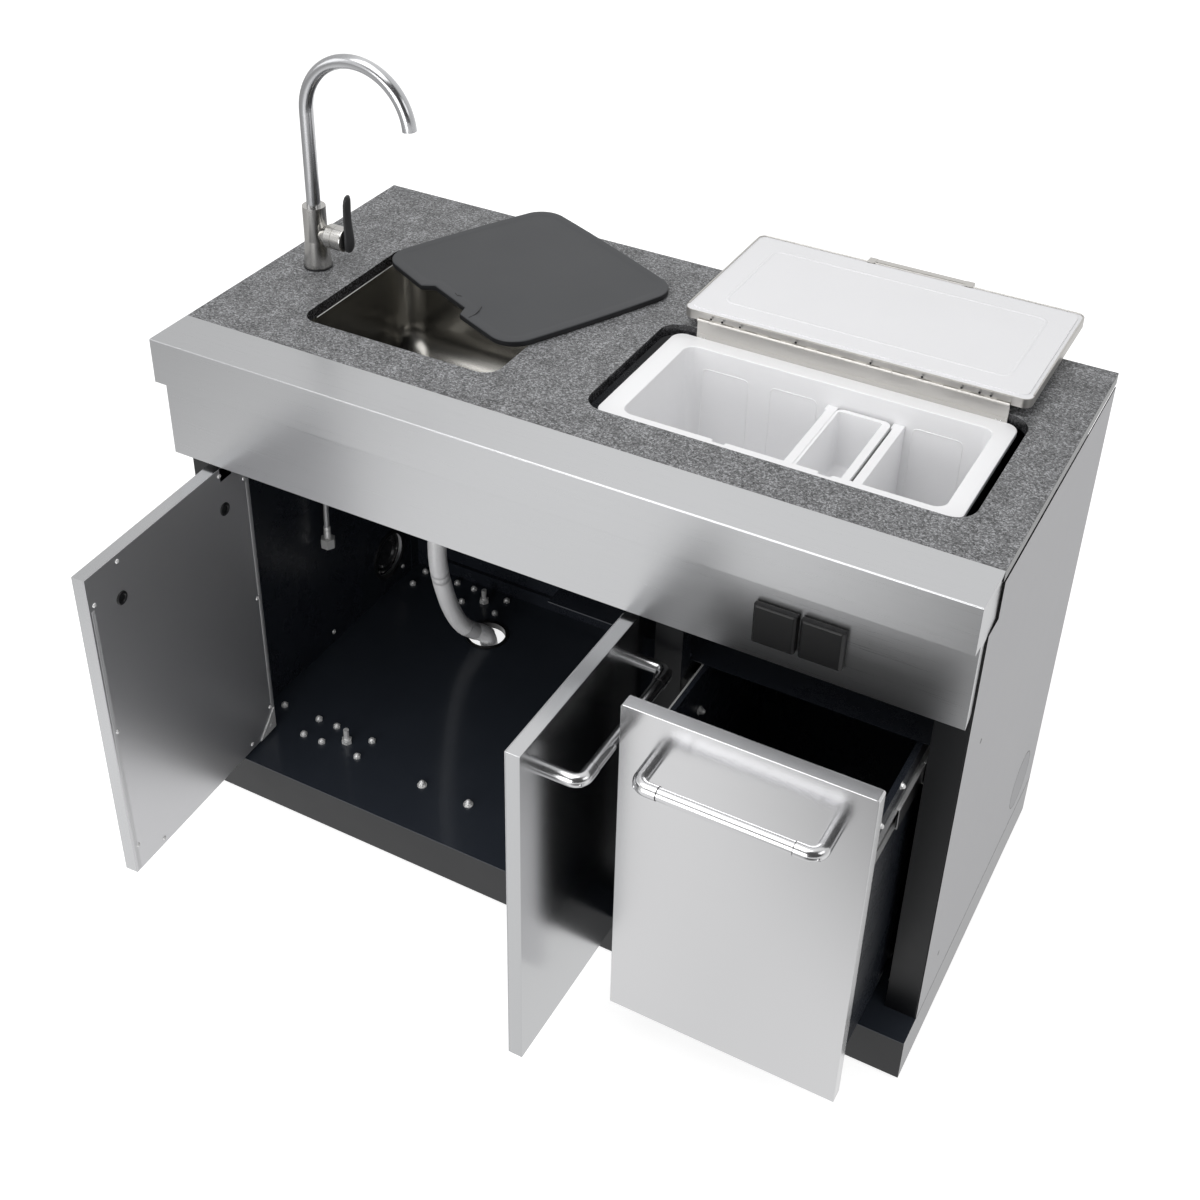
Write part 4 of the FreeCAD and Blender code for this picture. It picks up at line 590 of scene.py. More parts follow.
class Form:
    """A mesh being modelled with bmesh operators, in cabinet millimetres."""

    def __init__(self) -> None:
        """Starts empty."""
        self.mesh = bmesh.new()

    def ring(self, radius: float, sides: int, place: Matrix) -> list[bmesh.types.BMEdge]:
        """Adds a bare circle and returns its edges."""
        return edges_at(bmesh.ops.create_circle(
            self.mesh, cap_ends=False, radius=radius, segments=sides, matrix=place)["verts"])

    def block(self, low: Point, high: Point, width: float = 0.0, steps: int = 2) -> None:
        """Adds a block.

        Args:
            low: its lowest corner.
            high: its highest corner.
            width: the radius of its edges.
            steps: how many faces each rounded edge has.
        """
        low, high = Vector(low), Vector(high)
        place = Matrix.Translation((low + high) / 2) @ Matrix.Diagonal((*(high - low), 1.0))
        verts = bmesh.ops.create_cube(self.mesh, size=1.0, matrix=place)["verts"]
        if width:
            ease(self.mesh, edges_at(verts), width, steps)

    def turned(self, outline: Sequence[Pair], foot: Point,
               axis: Point = (0, 0, 1), sides: int = 40) -> None:
        """Adds a turned piece.

        Args:
            outline: radius and height pairs from one end to the other; a closed
                piece starts and ends at radius 0, a ring repeats its first pair.
            foot: where height 0 lies.
            axis: the direction of rising height.
            sides: how many faces go round it.
        """
        known = set(self.mesh.verts)
        verts = [self.mesh.verts.new((radius, 0.0, height)) for radius, height in outline]
        edges = [self.mesh.edges.new(pair) for pair in zip(verts, verts[1:])]
        bmesh.ops.spin(self.mesh, geom=verts + edges, cent=(0, 0, 0), axis=(0, 0, 1),
                       angle=2 * math.pi, steps=sides, use_merge=True, use_duplicate=False)
        fresh = [vert for vert in self.mesh.verts if vert not in known]
        bmesh.ops.remove_doubles(self.mesh, verts=fresh, dist=1e-4)
        fresh = [vert for vert in self.mesh.verts if vert not in known]
        bmesh.ops.transform(self.mesh, matrix=facing(foot, axis), verts=fresh)

    def rod(self, start: Point, end: Point, radius: float, width: float = 0.0, sides: int = 32) -> None:
        """Adds a round bar.

        Args:
            start: the middle of its first end.
            end: the middle of its other end.
            radius: its radius.
            width: how far its ends are eased.
            sides: how many faces go round it.
        """
        start, end = Vector(start), Vector(end)
        length = (end - start).length
        outline = [(0.0, 0.0), (radius, 0.0), (radius, length), (0.0, length)]
        if width:
            outline[1:3] = [(radius - width, 0.0), (radius, width), (radius, length - width),
                            (radius - width, length)]
        self.turned(outline, start, end - start, sides)

    def prism(self, outline: Outline, height: float, place: Matrix, width: float) -> None:
        """Adds a prism with eased edges.

        Args:
            outline: x and y pairs round its foot.
            height: how tall it is.
            place: where its foot goes.
            width: the radius of its edges.
        """
        foot = [self.mesh.verts.new((x, y, 0.0)) for x, y in outline]
        made = bmesh.ops.extrude_face_region(self.mesh, geom=[self.mesh.faces.new(foot)])["geom"]
        top = verts_in(made)
        bmesh.ops.translate(self.mesh, vec=(0, 0, height), verts=top)
        bmesh.ops.transform(self.mesh, matrix=place, verts=foot + top)
        ease(self.mesh, edges_at(foot + top), width)

    def loft(self, places: Iterable[Matrix], capped: bool = True) -> None:
        """Adds a skin over rings.

        Args:
            places: what takes a circle of radius 1 to each ring.
            capped: whether its ends are closed.
        """
        loops = [self.ring(1.0, 28, place) for place in places]
        for near, far in zip(loops, loops[1:]):
            bmesh.ops.bridge_loops(self.mesh, edges=near + far)
        if capped:
            for end in (loops[0], loops[-1]):
                bmesh.ops.contextual_create(self.mesh, geom=end)

    def tube(self, start: Point, heading: Point, radius: float, moves: Sequence[Move],
             sides: int, capped: bool = True) -> None:
        """Adds a tube that runs and bends.

        Args:
            start: the middle of its first end.
            heading: the direction that it sets out in.
            radius: its outer radius.
            moves: its runs, bends and steps of radius, in order.
            sides: how many faces go round it.
            capped: whether its ends are closed, or else meet each other.
        """
        first = self.ring(radius, sides, facing(start, heading))
        edges = first
        for move in moves:
            edges = move.draw(self.mesh, edges)
        if capped:
            for end in (first, edges):
                bmesh.ops.contextual_create(self.mesh, geom=end)
        else:
            bmesh.ops.remove_doubles(self.mesh, verts=self.mesh.verts, dist=1e-3)

    def bead(self, points: Sequence[Point], radius: float, corner: float, steps: int,
             sides: int, capped: bool = True) -> None:
        """Adds a thin tube along straight legs whose corners have a radius and a number of steps."""
        heading = Vector(points[1]) - Vector(points[0])
        self.tube(points[0], heading, radius, legs(points, corner, steps), sides, capped)

    def piece(self, name: str, body: str, finish: Finish, place: Matrix = Matrix.Identity(4),
              replaces: Sequence[str] = (), crease: float = 38.0) -> bpy.types.Object:
        """Finishes the mesh as a piece of the object.

        Args:
            name: the piece's name.
            body: the body that it rides on.
            finish: what it is made of.
            place: where the mesh goes, in cabinet millimetres.
            replaces: CAD nodes that it stands for.
            crease: the angle in degrees past which an edge stays sharp.

        Returns:
            The piece.
        """
        bmesh.ops.recalc_face_normals(self.mesh, faces=self.mesh.faces)
        bmesh.ops.transform(self.mesh, matrix=in_frame() @ place, verts=self.mesh.verts)
        mesh = bpy.data.meshes.new(name)
        self.mesh.to_mesh(mesh)
        self.mesh.free()
        return settle(name, mesh, body, finish, replaces, crease)


def placed(name: str, data: bpy.types.ID) -> bpy.types.Object:
    """Puts a new object in the scene.

    Args:
        name: its name.
        data: its mesh, curve, camera or lamp.

    Returns:
        The object.
    """
    made = bpy.data.objects.new(name, data)
    bpy.context.scene.collection.objects.link(made)
    return made


def settle(name: str, mesh: bpy.types.Mesh, body: str, finish: Finish,
           replaces: Sequence[str] = (), crease: float = 38.0) -> bpy.types.Object:
    """Makes a mesh that lies in the frame into a shaded piece on a body.

    Args:
        name: the piece's name.
        mesh: its mesh, in metres.
        body: the body that it rides on.
        finish: what it is made of.
        replaces: CAD nodes that it stands for.
        crease: the angle in degrees past which an edge stays sharp.

    Returns:
        The piece.
    """
    made = placed(name, mesh)
    mesh.shade_smooth()
    mesh.set_sharp_from_angle(angle=math.radians(crease))
    mesh.materials.clear()
    mesh.materials.append(finish.material())
    weighted = made.modifiers.new("Flat faces stay flat", "WEIGHTED_NORMAL")
    weighted.keep_sharp = True
    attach(made, body)
    if replaces:
        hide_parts(*replaces)
    log.info("piece %s, %d faces, on %s", name, len(mesh.polygons), body)
    return made


def dressed(finish: Finish, *nodes: str) -> None:
    """Gives CAD nodes whose shape is right their material."""
    for node in nodes:
        for place in frame["nodes"][node].material_slots:
            place.material = finish.material()
        log.info("node %s in %s", node, finish.name)


def softened(node: str, finish: Finish, width: float, steps: int = 2, least: float = 28.0,
             crease: float = 38.0,
             shaped: Optional[Callable[[bmesh.types.BMesh], None]] = None) -> bpy.types.Object:
    """Stands a copy with eased outer edges in a CAD node's place.

    Args:
        node: the CAD node.
        finish: what it is made of.
        width: the radius of the eased edges, in millimetres.
        steps: how many faces each eased edge has.
        least: edges that turn by less than this many degrees stay as they are.
        crease: the angle in degrees past which an edge stays sharp.
        shaped: further work on the mesh before its edges are eased.

    Returns:
        The piece.
    """
    work = bmesh.new()
    work.from_mesh(frame["nodes"][node].data)
    bmesh.ops.remove_doubles(work, verts=work.verts, dist=2e-6)
    bmesh.ops.dissolve_limit(work, angle_limit=math.radians(0.4), verts=work.verts, edges=work.edges,
                             use_dissolve_boundaries=False, delimit=set())
    if shaped:
        shaped(work)
    sharp = [
        edge for edge in work.edges
        if len(edge.link_faces) == 2 and edge.is_convex
        and edge.calc_face_angle(0.0) > math.radians(least)
    ]
    ease(work, sharp, width * MM, steps)
    mesh = bpy.data.meshes.new(node + "_eased")
    work.to_mesh(mesh)
    work.free()
    return settle(node + "_eased", mesh, NODE_BODY[node], finish, (node,), crease)


def banded(made: bpy.types.Object, finish: Finish, chosen: Callable[[Vector], bool]) -> None:
    """Gives a second finish to the faces of a piece whose direction is chosen."""
    made.data.materials.append(finish.material())
    for face in made.data.polygons:
        if chosen(face.normal):
            face.material_index = 1


def screw(form: Form, foot: Point, axis: Point, radius: float, height: float) -> None:
    """Adds a domed screw head of a radius and height, with a round socket in it."""
    form.turned([
        (0.0, height * 0.35), (radius * 0.36, height * 0.35), (radius * 0.42, height),
        (radius * 0.72, height * 0.86), (radius * 0.93, height * 0.5), (radius, 0.0), (0.0, 0.0),
    ], foot, axis, sides=20)


def washer_nut(form: Form, foot: Point, axis: Point, radius: float, height: float) -> None:
    """Adds a six-sided dome nut on a washer.

    Args:
        form: the mesh that it joins.
        foot: the middle of the washer's underside.
        axis: the direction that it points in.
        radius: the nut's radius across its corners.
        height: the whole height.
    """
    washer, wide = height * 0.14, radius * 1.35
    form.turned([(0.0, 0.0), (wide, 0.0), (wide, washer), (0.0, washer)], foot, axis, sides=24)
    form.turned([(0.0, washer), (radius, washer), (radius, height * 0.5),
                 (radius * 0.85, height * 0.56), (0.0, height * 0.56)], foot, axis, sides=6)
    dome = [(radius * 0.82 * math.cos(angle), height * (0.54 + 0.46 * math.sin(angle)))
            for angle in (math.pi * step / 12 for step in range(6))]
    form.turned([(0.0, height * 0.54), *dome, (0.0, height)], foot, axis, sides=20)


@dataclass
class StoneTop:
    """The stone slab with its polished cut-outs, whose upright faces are painted darker as shade."""

    edge: float = 0.9

    def build(self) -> None:
        """Eases the slab's edges and gives its upright faces a polished granite that is painted much darker,
        as shade.
        """
        banded(softened("countertop", STONE, self.edge), SHADED_POLISHED_STONE, lambda way: abs(way.z) < 0.5)


@dataclass
class Shell:
    """Fascias, side panels, plinths and the black inside of the cabinet."""

    edge: float = 0.6
    fascia_edge: float = 0.4
    fascia_crease: float = 50.0
    wide_fold: float = 6.0
    tight_fold: float = 2.0
    slack: float = 0.05
    face_depth: float = 50.0
    face_top: float = 890.0
    draw_in: float = 3.4
    end_share: float = 0.45
    proud: float = 0.12
    sunk: float = 0.4
    foot_line: float = 1.5
    knock_out: Pair = (553.0, 159.0)
    patch_radius: float = 51.0
    ring_radii: Pair = (50.4, 52.6)
    holes: Outline = ((142.0, 580.0), (135.0, 150.0))
    hole_radius: float = 4.2
    wall: float = 1.0
    wall_screws: Outline = ((110.0, 604.0), (110.0, 370.0), (349.0, 104.0), (585.0, 108.0))
    wall_screw: Pair = (5.0, 2.4)
    floor_nuts: Outline = ((387.0, 105.0), (482.0, 105.0))
    floor_nut: Pair = (6.4, 11.0)
    port: Point = (10.0, 541.0, 165.0)
    port_cap: Outline = (
        (0.0, 0.0), (0.0, 3.0), (26.0, 3.0), (29.0, 7.0), (32.0, 7.0), (34.0, 2.0), (40.0, 2.0),
        (42.0, 6.0), (46.0, 6.0), (46.0, 0.0), (0.0, 0.0))

    def build(self) -> None:
        """Dresses the sheet metal, paints shadow on the side panels' front and top edges, and adds bolts,
        the port's cap with its painted shade and the side panels' marks.
        """
        for node, shaped in (("upper_fascia", self.upper_shape), ("lower_fascia", self.lower_shape)):
            softened(node, FASCIA, self.fascia_edge, least=self.fascia_crease,
                     crease=self.fascia_crease, shaped=shaped)
        for side in ("left", "right"):
            panel = softened(f"{side}_side_panel", SIDE, self.edge, steps=3)
            # Painted shadow: the panels' front- and up-facing edge faces are drawn near-black for the shade
            # in the gaps beside them.
            banded(panel, PAINTED_GAP_SHADOW, lambda way: way.y < -0.5 or way.z > 0.5)
        for node, finish in (("front_plinth", PLINTH), ("side_plinths", PLINTH_SIDE),
                             ("floor_pan", FLOOR), ("front_frame", FRAME)):
            softened(node, finish, self.edge)
        dressed(INSIDE, "inner_walls", "back_panel", "cooler_shelf")
        dressed(CASING, "cooler_shell")
        self.wall_bolts()
        # A glossy black cap in the wall port: partly a real cap, partly painted shade for the dark inside of
        # the port.
        cap = Form()
        cap.turned(self.port_cap, self.port, (1, 0, 0), sides=64)
        cap.piece("side_port_cap", "cabinet", PORT_CAP_AND_SHADE)
        self.side_marks()

    def upper_shape(self, work: bmesh.types.BMesh) -> None:
        """Tightens the upper fascia's fold and draws its ends in behind the face.

        Args:
            work: the fascia's mesh, in metres.
        """
        top = cabinet_box("upper_fascia")[1].z
        wide, tight = self.wide_fold, self.tight_fold
        for vert in work.verts:
            place = (vert.co - CORNER) / MM
            out = Vector((0, place.y - wide, place.z - (top - wide)))
            if out.y < self.slack and out.z > -self.slack and abs(out.length - wide) < self.slack:
                vert.co.y = CORNER.y + (tight + out.y * tight / wide) * MM
                vert.co.z = CORNER.z + (top - tight + out.z * tight / wide) * MM
            elif place.y > self.face_depth and place.z < self.face_top:
                self.draw_end_in(vert)

    def lower_shape(self, work: bmesh.types.BMesh) -> None:
        """Draws the back of the lower fascia's ends in, so that a dark joint shows."""
        for vert in work.verts:
            if (vert.co.y - CORNER.y) / MM > self.face_depth:
                self.draw_end_in(vert)

    def draw_end_in(self, vert: bmesh.types.BMVert) -> None:
        """Moves a vertex at a fascia's end inwards, away from the side panel beside it.

        Args:
            vert: a vertex of the fascia, in the frame.
        """
        low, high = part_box("countertop")
        side = vert.co.x - (low.x + high.x) / 2
        if abs(side) > (high.x - low.x) * self.end_share:
            vert.co.x -= math.copysign(self.draw_in * MM, side)

    def side_marks(self) -> None:
        """Knock-outs, screw holes and the dark line along the foot of both side panels."""
        marks = Form()
        patches = Form()
        foot = cabinet_box("side_plinths")[1].z
        left, right = cabinet_box("left_side_panel"), cabinet_box("right_side_panel")
        front, back = right[0].y, right[1].y
        inner, outer = self.ring_radii
        for face, way in ((right[1].x, 1.0), (left[0].x, -1.0)):
            near, far = sorted((face - self.sunk * way, face + self.proud * way))
            marks.block((near, front, foot - self.foot_line), (far, back, foot + self.foot_line))
            spot, axis = (face, *self.knock_out), (way, 0, 0)
            marks.turned([(outer, -self.sunk), (outer, self.proud), (inner, self.proud),
                          (inner, -self.sunk), (outer, -self.sunk)], spot, axis, sides=72)
            self.disc(patches, spot, axis, self.patch_radius, self.proud / 2, 72)
            for place in self.holes:
                self.disc(marks, (face, *place), axis, self.hole_radius, self.proud, 20)
        marks.piece("side_panel_marks", "cabinet", BLACK)
        patches.piece("side_knock_outs", "cabinet", PATCH)

    def disc(self, form: Form, spot: Point, axis: Point, radius: float, proud: float, sides: int) -> None:
        """Adds a disc that is sunk in a panel and stands a little proud of it."""
        form.turned([(0.0, -self.sunk), (radius, -self.sunk), (radius, proud), (0.0, proud)],
                    spot, axis, sides)

    def wall_bolts(self) -> None:
        """Bolts and screws on the left wall and the floor of the open bay."""
        wall = cabinet_box("inner_walls")[0].x + self.wall
        floor = cabinet_box("floor_pan")[1].z
        form = Form()
        for y, z in self.wall_screws:
            screw(form, (wall, y, z), (1, 0, 0), *self.wall_screw)
        for x, y in self.floor_nuts:
            washer_nut(form, (x, y, floor), (0, 0, 1), *self.floor_nut)
        form.piece("bay_fasteners", "cabinet", BRIGHT)


@dataclass
class Outlets:
    """The two sprung weather covers and the sockets behind them."""

    def build(self) -> None:
        """Dresses covers and boxes."""
        for side in ("left", "right"):
            softened(f"{side}_outlet_cover", COVERS, 1.8, steps=3, least=20.0)
        dressed(BLACK, "outlet_boxes")


@dataclass
class Base:
    """Plates, feet, casters and the nuts on the floor."""

    def build(self) -> None:
        """Dresses the hardware under and on the floor."""
        dressed(ZINC, "base_plates")
        dressed(BRIGHT, "floor_fasteners", "levelling_feet")
        for end in ("front", "rear"):
            for side in ("left", "right"):
                dressed(ZINC, f"caster_fork_{end}_{side}")
                dressed(TYRE, f"caster_wheel_{end}_{side}")
        dressed(BLACK, "port_rings")


@dataclass
class Sink:
    """The pressed bowl, its strainer and the loose board over it."""

    rim: float = 15.0
    slope: float = 5.0
    dish: float = 0.9
    inner_low: Point = (152.0, 168.0, 711.0)
    inner_high: Point = (506.0, 461.0, 892.9)
    corner: float = 44.0
    foot: float = 66.0
    foot_steps: int = 16
    wall: float = 1.2
    flange: float = 17.0
    drain: Point = (329.0, 314.5, 711.0)
    drain_radius: float = 43.0
    rim_inset: float = 20.6
    rim_stop: float = 62.0
    rim_corner: float = 42.0
    rim_drop: float = 0.9
    rim_radius: float = 0.8
    # Lines of painted shade for the board's groove and slot, each with its radius.
    marks: tuple[tuple[Outline, float], ...] = (
        (((389.6, 288.0), (392.6, 300.0), (391.8, 314.0), (387.8, 328.0)), 0.8),
        (((329.0, 345.0), (336.0, 340.5), (343.0, 341.5)), 0.9))
    marks_sunk: float = 0.15

    def build(self) -> None:
        """Makes the bowl with a painted highlight along its rim, dresses the strainer and shapes the board.
        """
        self.bowl()
        dressed(ZINC, "sink_strainer")
        board = softened("sink_cover", BOARD, 2.2, steps=4, least=60.0, shaped=self.dished)
        # Painted shade: the board's sides and underside take a darker copy of its plastic.
        banded(board, BOARD_EDGE_SHADE, lambda way: way.z < 0.35)
        self.painted_groove_shade()
        self.painted_rim_highlight()

    def bowl(self) -> None:
        """A smooth pressed bowl with its flange and its drain hole."""
        form = Form()
        bowl = form.mesh
        low, high = Vector(self.inner_low), Vector(self.inner_high)
        middle = (low + high) / 2
        form.block((low.x, low.y, low.z + self.foot), high)
        ends = [face for face in bowl.faces if abs(face.normal.z) > 0.5]
        bmesh.ops.delete(bowl, geom=ends, context="FACES_ONLY")
        ease(bowl, [edge for edge in bowl.edges if not edge.is_boundary], self.corner, 12)
        rim = [e for e in bowl.edges if e.is_boundary and e.verts[0].co.z > middle.z]
        ring = [e for e in bowl.edges if e.is_boundary and e.verts[0].co.z < middle.z]
        angles = [math.pi / 2 * step / self.foot_steps for step in range(self.foot_steps + 1)]
        for one, other in zip(angles, angles[1:]):
            ring = self.carry(bowl, ring, self.foot * (math.cos(one) - math.cos(other)),
                              self.foot * (math.sin(one) - math.sin(other)))
        ring += form.ring(self.drain_radius, 64, Matrix.Translation(self.drain))
        bmesh.ops.triangle_fill(bowl, use_beauty=True, use_dissolve=False, edges=ring)
        self.carry(bowl, rim, -self.flange, 0.0)
        bmesh.ops.recalc_face_normals(bowl, faces=bowl.faces)
        if max(bowl.faces, key=lambda face: face.calc_center_median().z).normal.z < 0:
            bmesh.ops.reverse_faces(bowl, faces=bowl.faces)
        bmesh.ops.solidify(bowl, geom=bowl.faces, thickness=self.wall)
        form.piece("sink_bowl_pressed", "cabinet", BOWL, replaces=("sink_bowl",))

    def carry(self, bowl: bmesh.types.BMesh, edges: list, inset: float, rise: float) -> list:
        """Carries a ring of the bowl's edges on.

        Args:
            bowl: the bowl's mesh.
            edges: the ring.
            inset: how far it goes inwards.
            rise: how far it goes up.

        Returns:
            The new ring.
        """
        middle = (Vector(self.inner_low) + Vector(self.inner_high)) / 2
        made = bmesh.ops.extrude_edge_only(bowl, edges=edges)["geom"]
        verts = verts_in(made)
        reach = [max(abs(vert.co[axis] - middle[axis]) for vert in verts) for axis in (0, 1)]
        bmesh.ops.scale(bowl, vec=(1 - inset / reach[0], 1 - inset / reach[1], 1.0),
                        space=Matrix.Translation(-middle), verts=verts)
        bmesh.ops.translate(bowl, vec=(0, 0, rise), verts=verts)
        return edges_in(made)

    def dished(self, work: bmesh.types.BMesh) -> None:
        """Sinks the board's middle a little inside a raised rim."""
        top = max(work.faces, key=lambda face: (face.normal.z, face.calc_area()))
        for wide, deep in ((self.rim, 0.0), (self.slope, self.dish)):
            bmesh.ops.inset_region(work, faces=[top], thickness=wide * MM, depth=-deep * MM,
                                   use_even_offset=True)

    def painted_rim_highlight(self) -> None:
        """A painted highlight: a bright line where the bowl meets the stone, along its left and back, for
        light caught on the bowl's rim.
        """
        low, high = cabinet_box("sink_bowl")
        left, back, level = low.x + self.rim_inset, high.y - self.rim_inset, high.z - self.rim_drop
        line = Form()
        # A thin bright bead of painted highlight along the rim's edge.
        line.bead([(left, low.y + self.rim_stop, level), (left, back, level),
                   (high.x - self.rim_stop, back, level)], self.rim_radius, self.rim_corner, 8, 10)
        line.piece("sink_rim_painted_highlight", "cabinet", BRIGHT)

    def painted_groove_shade(self) -> None:
        """A curved groove and a short slot beside the board's notch, drawn as thin black lines of painted
        shade.
        """
        top = cabinet_box("sink_cover")[1].z - self.marks_sunk
        form = Form()
        # Each line is a black rod lying flat in the top: painted shade of a groove.
        for line, radius in self.marks:
            for here, there in zip(line, line[1:]):
                form.rod((*here, top), (*there, top), radius, sides=8)
        form.piece("sink_cover_groove_shade", "sink_cover_board", BLACK)


@dataclass
class Faucet:
    """Body, swivel spout and side lever."""

    valve_radius: float = 20.0
    valve_below_top: float = 47.0
    cap_length: float = 33.0
    cap_groove: Pair = (13.0, 15.4)
    groove_depth: float = 0.9
    lever_gap: float = 5.8
    lever_rise: float = 0.3
    lever_rings: tuple[tuple[float, float, float, float], ...] = (
        (0.0, 0.0, 2.08, 3.4), (2.2, 0.0, 3.84, 7.4), (7.0, 0.0, 5.44, 10.9), (14.0, 0.0, 5.92, 11.9),
        (24.0, 0.0, 5.76, 11.6), (34.0, -0.4, 5.36, 10.8), (44.0, -0.8, 4.96, 9.8),
        (56.0, -1.2, 4.72, 9.2), (70.0, -1.0, 4.64, 9.0), (83.0, -0.4, 4.64, 9.0),
        (91.0, 0.4, 4.16, 8.2), (96.5, 1.0, 3.2, 6.2), (99.2, 1.4, 1.76, 3.4))
    spout_radius: float = 11.25
    spout_bend: float = 96.5
    end_above: float = 23.3
    tip_angle: float = 9.5
    tip_recess: float = 3.0
    mouth_share: float = 0.84

    def build(self) -> None:
        """Dresses body and spout, and shapes the valve cap and the lever."""
        dressed(NICKEL, "faucet_body")
        dressed(SPOUT, "spout")
        self.tip()
        dressed(BLACK, "faucet_ring_and_nut")
        low, high = cabinet_box("faucet_lever")
        middle = (low.y + high.y) / 2
        level = cabinet_box("faucet_body")[1].z - self.valve_below_top
        wide, deep = self.valve_radius, self.cap_length
        narrow = wide - self.groove_depth
        near, far = self.cap_groove
        cap = Form()
        cap.turned([(0, 0), (wide - 1.0, 0), (wide, 1.0), (wide, near), (narrow, near + 0.5),
                    (narrow, far - 0.5), (wide, far), (wide, deep - 2.2), (wide - 0.7, deep - 0.7),
                    (wide - 2.2, deep), (0, deep)], (low.x, middle, level), (1, 0, 0), sides=56)
        cap.piece("faucet_valve_cap", "tap_lever", NICKEL)
        lever = Form()
        foot = Vector((low.x + deep + self.lever_gap, middle, low.z + self.lever_rise))
        lever.loft([
            Matrix.Translation(foot + Vector((lean, 0, rise))) @ Matrix.Diagonal((half_x, half_y, 1, 1))
            for rise, lean, half_x, half_y in self.lever_rings])
        lever.piece("faucet_lever_paddle", "tap_lever", LEVER,
                    replaces=("faucet_lever",), crease=70.0)

    def tip(self) -> None:
        """The spout's last few millimetres, with its recessed mouth."""
        low, high = cabinet_box("spout")
        wide, bend = self.spout_radius, self.spout_bend
        centre = Vector((low.x + wide + bend, (low.y + high.y) / 2, high.z - wide - bend))
        rise = math.asin(self.end_above / bend)
        start = centre + bend * Vector((math.cos(rise), 0, math.sin(rise)))
        last = rise - math.radians(self.tip_angle)
        mouth = Form()
        mouth.tube(start, (math.sin(rise), 0, -math.cos(rise)), wide, [
            Bend(centre, (0, 1, 0), self.tip_angle, 6), Swell(self.mouth_share),
            Run((-self.tip_recess * math.sin(last), 0, self.tip_recess * math.cos(last))),
        ], sides=40)
        mouth.piece("spout_tip", "swivel_spout", SPOUT)


def guide(name: str, points: Sequence[Point], radius: float = 0.0) -> bpy.types.Object:
    """A smooth curve along a hose's route.

    Args:
        name: the curve's name.
        points: the route, in cabinet millimetres.
        radius: the hose's radius in millimetres, or 0 for a bare line.

    Returns:
        The curve, in the frame.
    """
    line = bpy.data.curves.new(name, "CURVE")
    line.dimensions = "3D"
    spline = line.splines.new("NURBS")
    spline.points.add(len(points) - 1)
    for target, point in zip(spline.points, points):
        target.co = (*(in_frame() @ Vector(point)), 1.0)
    spline.order_u = 3
    spline.use_endpoint_u = True
    line.resolution_u = 12
    line.bevel_depth = radius * MM
    line.bevel_resolution = 6
    line.use_fill_caps = radius > 0
    return placed(name, line)


